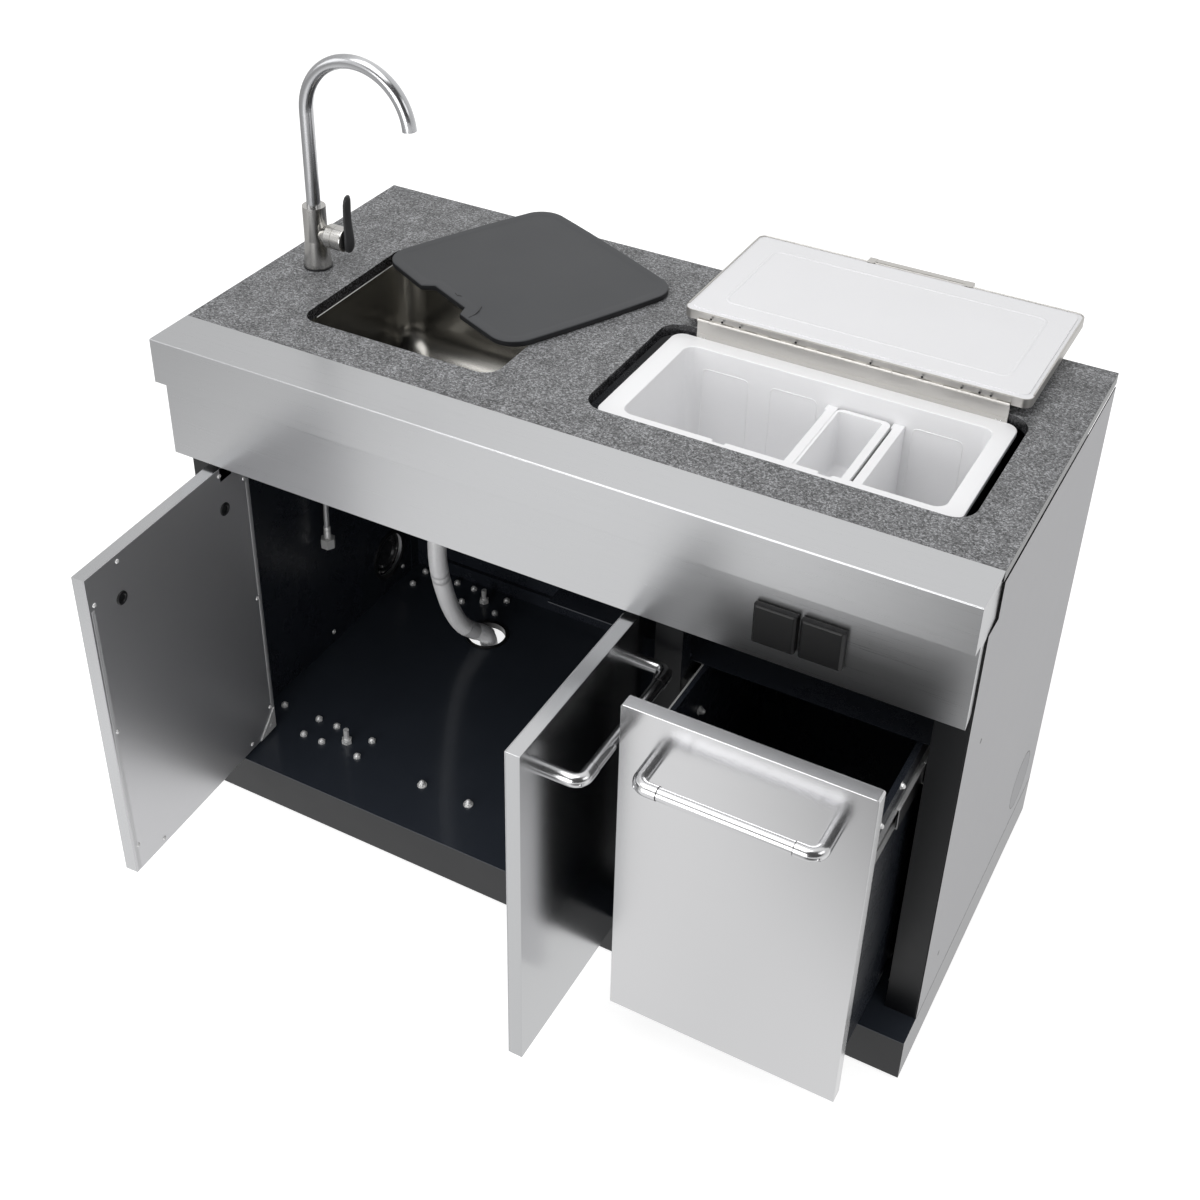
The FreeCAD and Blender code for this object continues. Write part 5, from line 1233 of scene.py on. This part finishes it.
@dataclass
class Hoses:
    """The braided supply hose, its nut, and the ribbed drain hose."""

    supply_route: tuple[Point, ...] = (
        (73, 329, 862), (73, 329, 800), (72, 328, 735), (69, 327.4, 670), (64, 327, 605),
        (58, 327.6, 540), (52.4, 328.3, 475), (45.5, 328.1, 412), (45.5, 328.1, 349),
    )
    drain_route: tuple[Point, ...] = (
        (329, 314.5, 690), (329, 314.5, 625), (310, 319, 562), (297, 323, 505), (284, 330, 432),
        (273.5, 347, 356), (264, 376, 283), (255.5, 408, 214), (253.5, 437, 160), (259, 463, 123),
        (270, 493, 101), (276, 508, 79), (277, 512, 36),
    )
    supply_radius: float = 5.0
    supply_length: float = 0.514
    crimp: Outline = (
        (5.05, 0.2), (6.6, 0.2), (6.9, 1.2), (6.9, 14.0), (6.2, 15.0), (6.2, 17.0), (6.8, 18.0),
        (6.8, 24.0), (5.6, 26.0), (5.05, 26.0), (5.05, 0.2))
    drain_radius: float = 17.0
    drain_wall: float = 3.5
    rib_pitch: float = 3.5
    rib_depth: float = 1.1
    rib_profile: Outline = ((0.0, 1.1), (0.22, 1.1), (0.42, 0.25), (0.6, 0.0), (0.78, 0.25))
    cuff: float = 34.0
    smooth: Outline = ((353.0, 363.0), (371.0, 381.0), (590.0, 622.0))

    def build(self) -> None:
        """Makes both hoses."""
        self.supply()
        self.drain()

    def supply(self) -> None:
        """A free braided hose from the faucet's shank to a hex nut."""
        hose = guide("supply_hose_braid", self.supply_route, self.supply_radius)
        hose.data.materials.append(BRAID.material())
        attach(hose, "cabinet")
        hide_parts("supply_hose")
        ferrules = Form()
        for foot, way in ((self.supply_route[-1], 1.0), (self.supply_route[0], -1.0)):
            ferrules.turned(self.crimp, foot, (0, 0, way), sides=28)
        crimps = ferrules.piece("supply_hose_ferrules", "cabinet", BRIGHT)
        dressed(BRIGHT, "supply_nut")

    def drain(self) -> None:
        """A ribbed hose with smooth cuffs, hollow where its ends show."""
        line = guide("drain_line", self.drain_route)
        traced = bpy.data.meshes.new_from_object(line)
        path = [in_frame().inverted() @ vert.co for vert in traced.vertices]
        bpy.data.objects.remove(line)
        bpy.data.meshes.remove(traced)
        length = sum((there - here).length for here, there in zip(path, path[1:]))
        form = Form()
        form.loft([self.across(path, at) @ Matrix.Diagonal((radius, radius, 1, 1))
                   for at, radius in self.drain_rings(length)], capped=False)
        form.piece("drain_hose_ribbed", "cabinet", HOSE, replaces=("drain_hose",), crease=60.0)

    def drain_rings(self, length: float) -> list[Pair]:
        """Where the drain hose's rings lie.

        Args:
            length: the hose's length.

        Returns:
            Each ring's distance along the hose and its radius.
        """
        wide = self.drain_radius
        low, bore = wide - self.rib_depth, wide - self.drain_wall
        rings = [(0.0, bore), (0.0, wide), (self.cuff, wide)]
        for rib in range(int((length - 2 * self.cuff) / self.rib_pitch)):
            at = self.cuff + (rib + 0.1) * self.rib_pitch
            if not any(near - self.rib_pitch < at < far for near, far in self.smooth):
                rings += [(at + share * self.rib_pitch, wide - depth) for share, depth in self.rib_profile]
        for near, far in self.smooth:
            rings += [(near + 0.6, low), (near + 1.6, wide - 0.1), (far - 1.6, wide - 0.1), (far - 0.6, low)]
        rings.sort(key=lambda ring: ring[0])
        return [*rings, (length - self.cuff, wide), (length, wide), (length, bore)]

    @staticmethod
    def across(path: Sequence[Vector], distance: float) -> Matrix:
        """A plane across the drain hose.

        Args:
            path: points along the hose's middle.
            distance: how far along it the plane lies.

        Returns:
            What takes the origin there and the z axis along the hose.
        """
        left = distance
        for here, there in zip(path, path[1:]):
            span = (there - here).length
            if left <= span:
                break
            left -= span
        heading = (there - here).normalized()
        side = Vector((1, 0, 0))
        side = (side - heading * side.dot(heading)).normalized()
        turn = Matrix((side, heading.cross(side), heading)).transposed().to_4x4()
        return Matrix.Translation(here.lerp(there, min(left / span, 1.0))) @ turn


@dataclass
class Cooler:
    """The white tub, its dividers and pan, the hinge and the lid."""

    back_rim: float = 29.0
    outlines: Outline = ((730.0, 808.0), (845.0, 921.0), (1073.0, 1150.0))
    outline_foot: float = 660.0
    outline_drop: float = 35.0
    outline_corner: float = 9.0
    outline_radius: float = 0.9
    hem_radius: float = 1.4
    hem_rise: float = 0.5
    hem_start: float = 16.0
    lid_corner: float = 14.0
    ridge_inset: float = 46.0
    ridge_radius: float = 5.0
    ridge_proud: float = 0.95
    ridge_corner: float = 16.0
    leaf_level: float = 936.0
    leaf_face: float = 1.2
    leaf_rivets: tuple[float, ...] = (727.0, 746.0, 776.0, 868.0, 988.0, 1068.0, 1128.0, 1155.0, 1172.0)
    leaf_rivet: Pair = (1.9, 1.7)
    rail_step: Outline = ((2.0, 1.0), (3.6, 17.0))
    rail_rivets: Outline = ((8.0, 14.0), (16.0, 9.0))
    rail_rivet: Pair = (1.9, 0.9)
    rivet_rise: float = 10.0

    def build(self) -> None:
        """Dresses the cooler and adds its raised lines, the lid's hem and the hinge's marks."""
        softened("cooler_tub", TUB, 1.6, steps=3, least=50.0)
        for side in ("left", "right"):
            softened(f"cooler_divider_{side}", TUB, 1.2, steps=3)
        dressed(TUB, "cooler_pan")
        dressed(HINGE, "cooler_hinge_rail")
        softened("lid_shell", HINGE, 0.3)
        softened("lid_liner", WHITE, 0.9, steps=3)
        softened("lid_handle", HINGE, 0.5)
        self.wall_lines()
        self.lid_lines()
        self.hinge_marks()

    def wall_lines(self) -> None:
        """Three raised outlines on the well's back wall."""
        high = cabinet_box("cooler_tub")[1]
        back, foot, top = high.y - self.back_rim, self.outline_foot, high.z - self.outline_drop
        form = Form()
        for left, right in self.outlines:
            form.bead([(left, back, foot), (left, back, top), (right, back, top), (right, back, foot)],
                      self.outline_radius, self.outline_corner, 8, 10)
        form.piece("cooler_wall_lines", "cabinet", TUB)

    def lid_lines(self) -> None:
        """The lid's rolled steel hem and the soft raised rectangle of its liner."""
        low, high = cabinet_box("lid_shell")
        liner_low, liner_high = cabinet_box("lid_liner")
        edge = self.hem_radius
        left, right, back = low.x + edge, high.x - edge, high.y - edge
        start, level = liner_low.y + self.hem_start, high.z + self.hem_rise
        hem = Form()
        hem.bead([(left, start, level), (left, back, level), (right, back, level), (right, start, level)],
                 edge, self.lid_corner - edge, 10, 12)
        hem.piece("lid_hem", "cooler_lid", HINGE)
        near, far = liner_low.y + self.ridge_inset, back - self.ridge_inset
        west, east = left + self.ridge_inset, right - self.ridge_inset
        top = liner_high.z - self.ridge_radius + self.ridge_proud
        first = (west, near + self.ridge_corner, top)
        ridge = Form()
        ridge.bead([first, (west, far, top), (east, far, top), (east, near, top), (west, near, top), first],
                   self.ridge_radius, self.ridge_corner, 10, 48, capped=False)
        ridge.piece("lid_liner_ridge", "cooler_lid", WHITE)

    def hinge_marks(self) -> None:
        """Dark rivets in the hinge's leaf, and a step and rivets in its rail."""
        low, high = cabinet_box("cooler_hinge_rail")
        front = cabinet_box("lid_shell")[0].y
        leaf = Form()
        for x in self.leaf_rivets:
            screw(leaf, (x, front + self.leaf_face, self.leaf_level), (0, -1, 0), *self.leaf_rivet)
        leaf.piece("hinge_leaf_rivets", "cooler_lid", CASING)
        rail = Form()
        (near, foot), (far, top) = self.rail_step
        rail.block((low.x, low.y + near, low.z + foot), (high.x, low.y + far, low.z + top), 0.3)
        rail.piece("hinge_rail_step", "cabinet", HINGE)
        dots = Form()
        left, right = self.rail_rivets
        for x in (*(low.x + inset for inset in left), *(high.x - inset for inset in right)):
            screw(dots, (x, low.y + near, low.z + self.rivet_rise), (0, -1, 0), *self.rail_rivet)
        dots.piece("hinge_rail_rivets", "cabinet", ZINC)


@dataclass(frozen=True)
class Handle:
    """A bar handle along x whose posts stand on the plane y = 0 and reach to -y."""

    spacing: float = 258.0
    standoff: float = 52.0
    reach: float = 32.0
    bar: float = 9.5
    elbow: float = 10.5
    bend: float = 16.0
    rim: float = 0.5
    rim_share: float = 0.965
    below_top: float = 77.5
    set_screw: Pair = (3.6, 1.5)
    screw_sunk: float = 0.5
    screw_drop: float = 1.5
    ring_inset: float = 0.25

    def add(self, owner: str, finish: Finish, place: Matrix) -> None:
        """Adds the handle of a door or drawer, and the dark rings at the ends of its bar.

        Args:
            owner: the body that it rides on, which also starts its pieces' names.
            finish: what it is made of.
            place: where the point between its posts goes.
        """
        half, rim, bend = self.spacing / 2, self.rim, self.bend
        deep = self.standoff - bend
        sleeve = Run((self.reach - bend - rim, 0, 0))
        lip = Run((rim, 0, 0))
        narrow = self.bar / self.elbow
        form = Form()
        form.tube((-half, 0, 0), (0, -1, 0), self.elbow, [
            Run((0, -deep, 0)), Bend((-half + bend, -deep, 0), (0, 0, 1)), sleeve,
            Swell(self.rim_share), lip, Swell(narrow / self.rim_share),
            Run((self.spacing - 2 * self.reach, 0, 0)),
            Swell(self.rim_share / narrow), lip, Swell(1 / self.rim_share),
            sleeve, Bend((half - bend, -deep, 0), (0, 0, 1)), Run((0, deep, 0)),
        ], sides=44)
        out = bend - (bend + self.elbow - self.screw_sunk) * math.sqrt(0.5)
        rings = Form()
        for side in (-1.0, 1.0):
            spot = (side * (half - out), out - self.standoff, -self.screw_drop)
            screw(form, spot, (side, -1.0, -0.2), *self.set_screw)
            at = side * (half - self.reach)
            rings.rod((at - rim, -self.standoff, 0), (at + rim, -self.standoff, 0),
                      self.elbow - self.ring_inset, sides=36)
        form.piece(f"{owner}_bar", owner, finish, place, (f"{owner}_handle",))
        rings.piece(f"{owner}_sleeve_rings", owner, BLACK, place)


@dataclass
class Door:
    """One hinged door, dressed in the place where it stands open."""

    hand: str
    side: float
    pivot: Point
    opened: float
    width: float = 395.0
    half: float = 11.5
    bottom: float = 89.0
    top: float = 686.0
    pivot_inset: float = 21.5
    handle: Handle = Handle()
    grommet: Outline = (
        (6.2, -2.0), (6.2, 1.6), (7.4, 2.8), (9.6, 3.0), (11.2, 2.0), (11.5, 0.4), (11.5, -2.0), (6.2, -2.0))
    plug: Outline = ((0.0, 0.4), (6.2, 0.4), (6.2, -1.0), (0.0, -1.0))
    screw_inset: float = 12.0
    liner_screw: Pair = (4.0, 1.8)
    column: tuple[float, ...] = (52.0, 298.0, 545.0)
    row_inset: float = 72.0
    pin_radius: float = 4.0
    pin_reach: float = 20.0
    pin_foot: float = 77.5
    pin_top: float = 695.0
    collar_radius: float = 8.0
    collar_foot: float = 80.4
    bracket_inset: float = 3.0
    bracket: float = 46.0
    bracket_hole: float = 14.0
    bracket_screw: Pair = (4.4, 0.9)
    plate: float = 2.0
    hems: Outline = ((4.0, 9.0), (384.0, 391.0))
    hem_faces: Pair = (-0.28, 0.37)
    hem_foot: float = 4.0
    hem_drop: float = 60.0

    def build(self) -> None:
        """Dresses the panels and adds handle, grommets, screws, pins, bracket and hems."""
        body = f"{self.hand}_door"
        place = Matrix.Translation(self.pivot) @ Matrix.Rotation(math.radians(self.opened), 4, "Z")
        softened(f"{body}_skin", DOOR, 0.8)
        softened(f"{body}_liner", LINER, 0.4)
        middle = (self.width / 2 - self.pivot_inset) * self.side
        level = self.top - self.handle.below_top
        self.handle.add(body, DOOR_TUBE, place @ Matrix.Translation((middle, -self.half, level)))
        grommets = Form()
        for post in (-self.handle.spacing / 2, self.handle.spacing / 2):
            spot = (middle + post, self.half, level)
            grommets.turned(self.grommet, spot, (0, 1, 0), sides=40)
            grommets.turned(self.plug, spot, (0, 1, 0), sides=24)
        grommets.piece(f"{body}_grommets", body, BLACK, place)
        fittings = Form()
        self.screws(fittings)
        self.pins(fittings)
        self.corner_bracket(fittings)
        fittings.piece(f"{body}_screws", body, BRIGHT, place, (f"{body}_fittings",))
        hem = Form()
        for near, far in self.hems:
            low, high = sorted(((near - self.pivot_inset) * self.side, (far - self.pivot_inset) * self.side))
            hem.block((low, self.half + self.hem_faces[0], self.bottom + self.hem_foot),
                      (high, self.half + self.hem_faces[1], self.top - self.hem_drop), 0.2, 1)
        hem.piece(f"{body}_liner_hem", body, HEM, place)

    def screws(self, form: Form) -> None:
        """Adds the screws round the liner: three in each upright edge and two in each level one.

        Args:
            form: the mesh that they join.
        """
        near, far = -self.pivot_inset, self.width - self.pivot_inset
        spots = [(x, self.bottom + z) for x in (near + self.screw_inset, far - self.screw_inset)
                 for z in self.column]
        spots += [(x, z) for x in (near + self.row_inset, far - self.row_inset)
                  for z in (self.bottom + self.screw_inset, self.top - self.screw_inset)]
        for x, z in spots:
            screw(form, (x * self.side, self.half, z), (0, 1, 0), *self.liner_screw)

    def pins(self, form: Form) -> None:
        """Adds the pivot pins above and below, and the lower pin's collar."""
        for foot, top, radius, width, sides in (
            (self.pin_foot, self.bottom + self.pin_reach, self.pin_radius, 0.4, 24),
            (self.collar_foot, self.bottom, self.collar_radius, 0.6, 28),
            (self.top - self.pin_reach, self.pin_top, self.pin_radius, 0.4, 24),
        ):
            form.rod((0, 0, foot), (0, 0, top), radius, width, sides)

    def corner_bracket(self, form: Form) -> None:
        """Adds the three-cornered plate at the lower pivot, and its screw.

        Args:
            form: the mesh that they join.
        """
        start = self.bracket_inset - self.pivot_inset
        face = self.half + self.plate
        upright = Matrix.Translation((0, face, self.bottom)) @ Matrix.Rotation(math.pi / 2, 4, "X")
        form.prism(((start * self.side, 0.0), ((start + self.bracket) * self.side, 0.0),
                    (start * self.side, self.bracket)), self.plate, upright, 0.5)
        at = self.bracket_hole
        screw(form, ((start + at) * self.side, face, self.bottom + at), (0, 1, 0), *self.bracket_screw)


@dataclass
class Drawer:
    """The drawer's front, box, handle and slides."""

    handle: Handle = Handle()
    left_nut: Pair = (87.0, 500.0)
    left_size: Pair = (5.6, 10.0)
    right_nuts: Outline = ((-78.0, 578.0), (4.0, 580.0))
    right_size: Pair = (4.4, 6.5)
    wall: float = 1.2
    # Where the painted highlight along the box's top edge lies.
    edge_in: float = 1.0
    edge_rise: float = 1.2
    edge_radius: float = 1.4
    edge_inset: float = 40.0

    def build(self) -> None:
        """Dresses the drawer and adds its handle, its small nuts and a bright rod of painted highlight along
        the top edge of its box.
        """
        softened("drawer_front", DRAWER, 0.8, steps=3)
        dressed(INSIDE, "drawer_box")
        for members in ("outer", "middle", "inner"):
            lips = softened(f"slide_{members}_members", SLIDE_LIP_HIGHLIGHT, 0.2, steps=1)
            # Painted shade and highlight: webs facing sideways are dark, lips bright.
            banded(lips, SLIDE_WEB_SHADE, lambda way: abs(way.x) > 0.5)
        low, high = cabinet_box("drawer_front")
        self.handle.add("drawer", TUBE, Matrix.Translation(
            ((low.x + high.x) / 2, low.y, high.z - self.handle.below_top)))
        low, high = cabinet_box("drawer_box")
        form = Form()
        washer_nut(form, (low.x + self.wall, *self.left_nut), (1, 0, 0), *self.left_size)
        for spot in self.right_nuts:
            washer_nut(form, (high.x, *spot), (1, 0, 0), *self.right_size)
        # A painted highlight: a bright rod along the top edge of the black box.
        x, z = low.x + self.edge_in, high.z + self.edge_rise
        form.rod((x, low.y + self.edge_inset, z), (x, high.y - self.edge_inset, z),
                 self.edge_radius, 0.3, 12)
        form.piece("drawer_bolts_and_edge_highlight", "drawer", BRIGHT)


@dataclass(frozen=True)
class Lamp:
    """A square soft box, in metres and watts."""

    name: str
    spot: Point
    size: float
    watts: float

    def build(self, aim: Point) -> None:
        """Hangs the lamp up and points it at a spot.

        Args:
            aim: the spot, in metres.
        """
        data = bpy.data.lights.new(self.name, "AREA")
        data.shape = "SQUARE"
        data.size = self.size
        data.energy = self.watts
        made = placed(self.name, data)
        made.location = self.spot
        made.rotation_mode = "QUATERNION"
        made.rotation_quaternion = (Vector(aim) - Vector(self.spot)).to_track_quat("-Z", "Y")


@dataclass
class Studio:
    """Camera, lamps, floor and the light of the room."""

    focal: float = 50.775
    shift: Pair = (-0.0045, -0.1123)
    eye: Point = (1646.33, -1657.40, 2188.13)
    axes: tuple[Point, Point, Point] = (
        (0.88001, 0.47441, 0.02265), (-0.27955, 0.47882, 0.83222), (0.38397, -0.73869, 0.55399))
    aim: Point = (0.0, 0.0, 0.6)
    lamps: tuple[Lamp, ...] = (
        Lamp("top", (-0.5, -0.9, 3.5), 2.4, 34.0),
        Lamp("left", (-3.0, -1.6, 2.2), 1.6, 8.0),
        Lamp("right", (3.2, -0.6, 2.6), 1.6, 11.0),
        Lamp("front", (-0.5, -3.4, 1.1), 2.1, 38.0),
    )
    plain: float = 0.64
    dark_way: Point = (0.50, -0.72, 0.48)
    dark_side: tuple[float, float, float, float] = (0.45, 0.85, 1.0, 0.10)
    room_greys: Outline = ((0.0, 0.50), (0.20, 0.68), (0.30, 1.0), (0.42, 0.90), (0.70, 0.80), (1.0, 0.62))
    floor_half: float = 12.0
    floor_grey: float = 0.50
    floor_glow: float = 0.80
    floor_span: float = 6.0
    floor_greys: Outline = (
        (0.0, 0.42), (0.23, 0.60), (0.36, 1.0), (0.47, 0.92), (0.56, 0.80), (0.75, 0.92), (1.0, 0.75))
    dark_spot: Point = (1.0, -1.5, 0.0)
    dark_floor: tuple[float, float, float, float] = (0.40, 1.05, 0.14, 1.0)

    def build(self) -> None:
        """Sets up the whole studio."""
        bpy.context.scene.view_settings.view_transform = "Standard"
        self.camera()
        self.room()
        self.floor()
        for lamp in self.lamps:
            lamp.build(self.aim)

    def camera(self) -> None:
        """The camera at the photograph's viewing angle."""
        data = bpy.data.cameras.new("camera")
        data.sensor_width = 36.0
        data.lens = self.focal
        data.shift_x, data.shift_y = self.shift
        data.clip_end = 60.0
        made = placed("camera", data)
        turn = Matrix([Vector(axis) for axis in self.axes]).transposed()
        made.matrix_world = Matrix.Translation(in_frame() @ Vector(self.eye)) @ turn.to_4x4()
        bpy.context.scene.camera = made

    def room(self) -> None:
        """White to the eye, graded with a dark side in reflections, and plain light elsewhere."""
        world = bpy.data.worlds.new("room")
        bpy.context.scene.world = world
        graph = bare_graph(world)
        shiny = graph.ray("Glossy")
        seen = graph.node("ShaderNodeMath", {"operation": "MAXIMUM"},
                          {0: graph.ray("Camera"), 1: graph.ray("Transmission")})
        way = graph.node("ShaderNodeTexCoord", output="Generated")
        towards = graph.node("ShaderNodeVectorMath", {"operation": "DOT_PRODUCT"},
                             {0: way, 1: self.dark_way}, output="Value")
        mirrored = graph.fade(towards, *self.dark_side) * self.greys(graph, way, 2.0, self.room_greys)
        strength = seen + (1 - seen) * (shiny * mirrored + (1 - shiny) * self.plain)
        graph.show("ShaderNodeOutputWorld", graph.node("ShaderNodeBackground", {}, {
            "Color": PURE, "Strength": strength}))

    @staticmethod
    def greys(graph: Graph, place: Wire, span: float, stops: Outline) -> Wire:
        """The grey at a place along x, from stops over a span that is centred on x = 0."""
        share = graph.part(place) * (1 / span) + 0.5
        return graph.ramp(share, [(position, (grey,) * 3) for position, grey in stops])

    def floor(self) -> None:
        """A plain pale floor that keeps a faint shadow, with a dark patch in reflections."""
        form = bmesh.new()
        bmesh.ops.create_grid(form, x_segments=1, y_segments=1, size=self.floor_half)
        mesh = bpy.data.meshes.new("floor")
        form.to_mesh(mesh)
        form.free()
        material = bpy.data.materials.new("floor")
        graph = bare_graph(material)
        matt = graph.node("ShaderNodeBsdfDiffuse", {}, {"Color": (*(self.floor_grey,) * 3, 1.0)})
        seen = graph.ray("Camera") + graph.ray("Transmission")
        glow = graph.node("ShaderNodeEmission", {}, {"Color": PURE, "Strength": seen * self.floor_glow})
        pale = graph.node("ShaderNodeAddShader", {}, {0: matt, 1: glow})
        place = graph.place()
        away = graph.node("ShaderNodeVectorMath", {"operation": "DISTANCE"},
                          {0: place, 1: self.dark_spot}, output="Value")
        dark = graph.fade(away, *self.dark_floor)
        graded = self.greys(graph, place, self.floor_span, self.floor_greys)
        mirrored = graph.node("ShaderNodeEmission", {}, {"Color": PURE, "Strength": dark * graded})
        graph.show("ShaderNodeOutputMaterial", graph.node("ShaderNodeMixShader", {}, {
            0: graph.ray("Glossy"), 1: pale, 2: mirrored}))
        mesh.materials.append(material)
        placed("floor", mesh)


def main() -> None:
    """Builds every sub-assembly in order."""
    logging.basicConfig(level=logging.INFO, format="%(message)s")
    Studio().build()
    Hoses().build()
    StoneTop().build()
    Shell().build()
    Outlets().build()
    Base().build()
    Sink().build()
    Faucet().build()
    Cooler().build()
    Door("left", 1.0, (68.5, 74.5, 0.0), -86.8).build()
    Door("right", -1.0, (817.5, 74.5, 0.0), 90.0).build()
    Drawer().build()


if __name__ == "__main__":
    main()
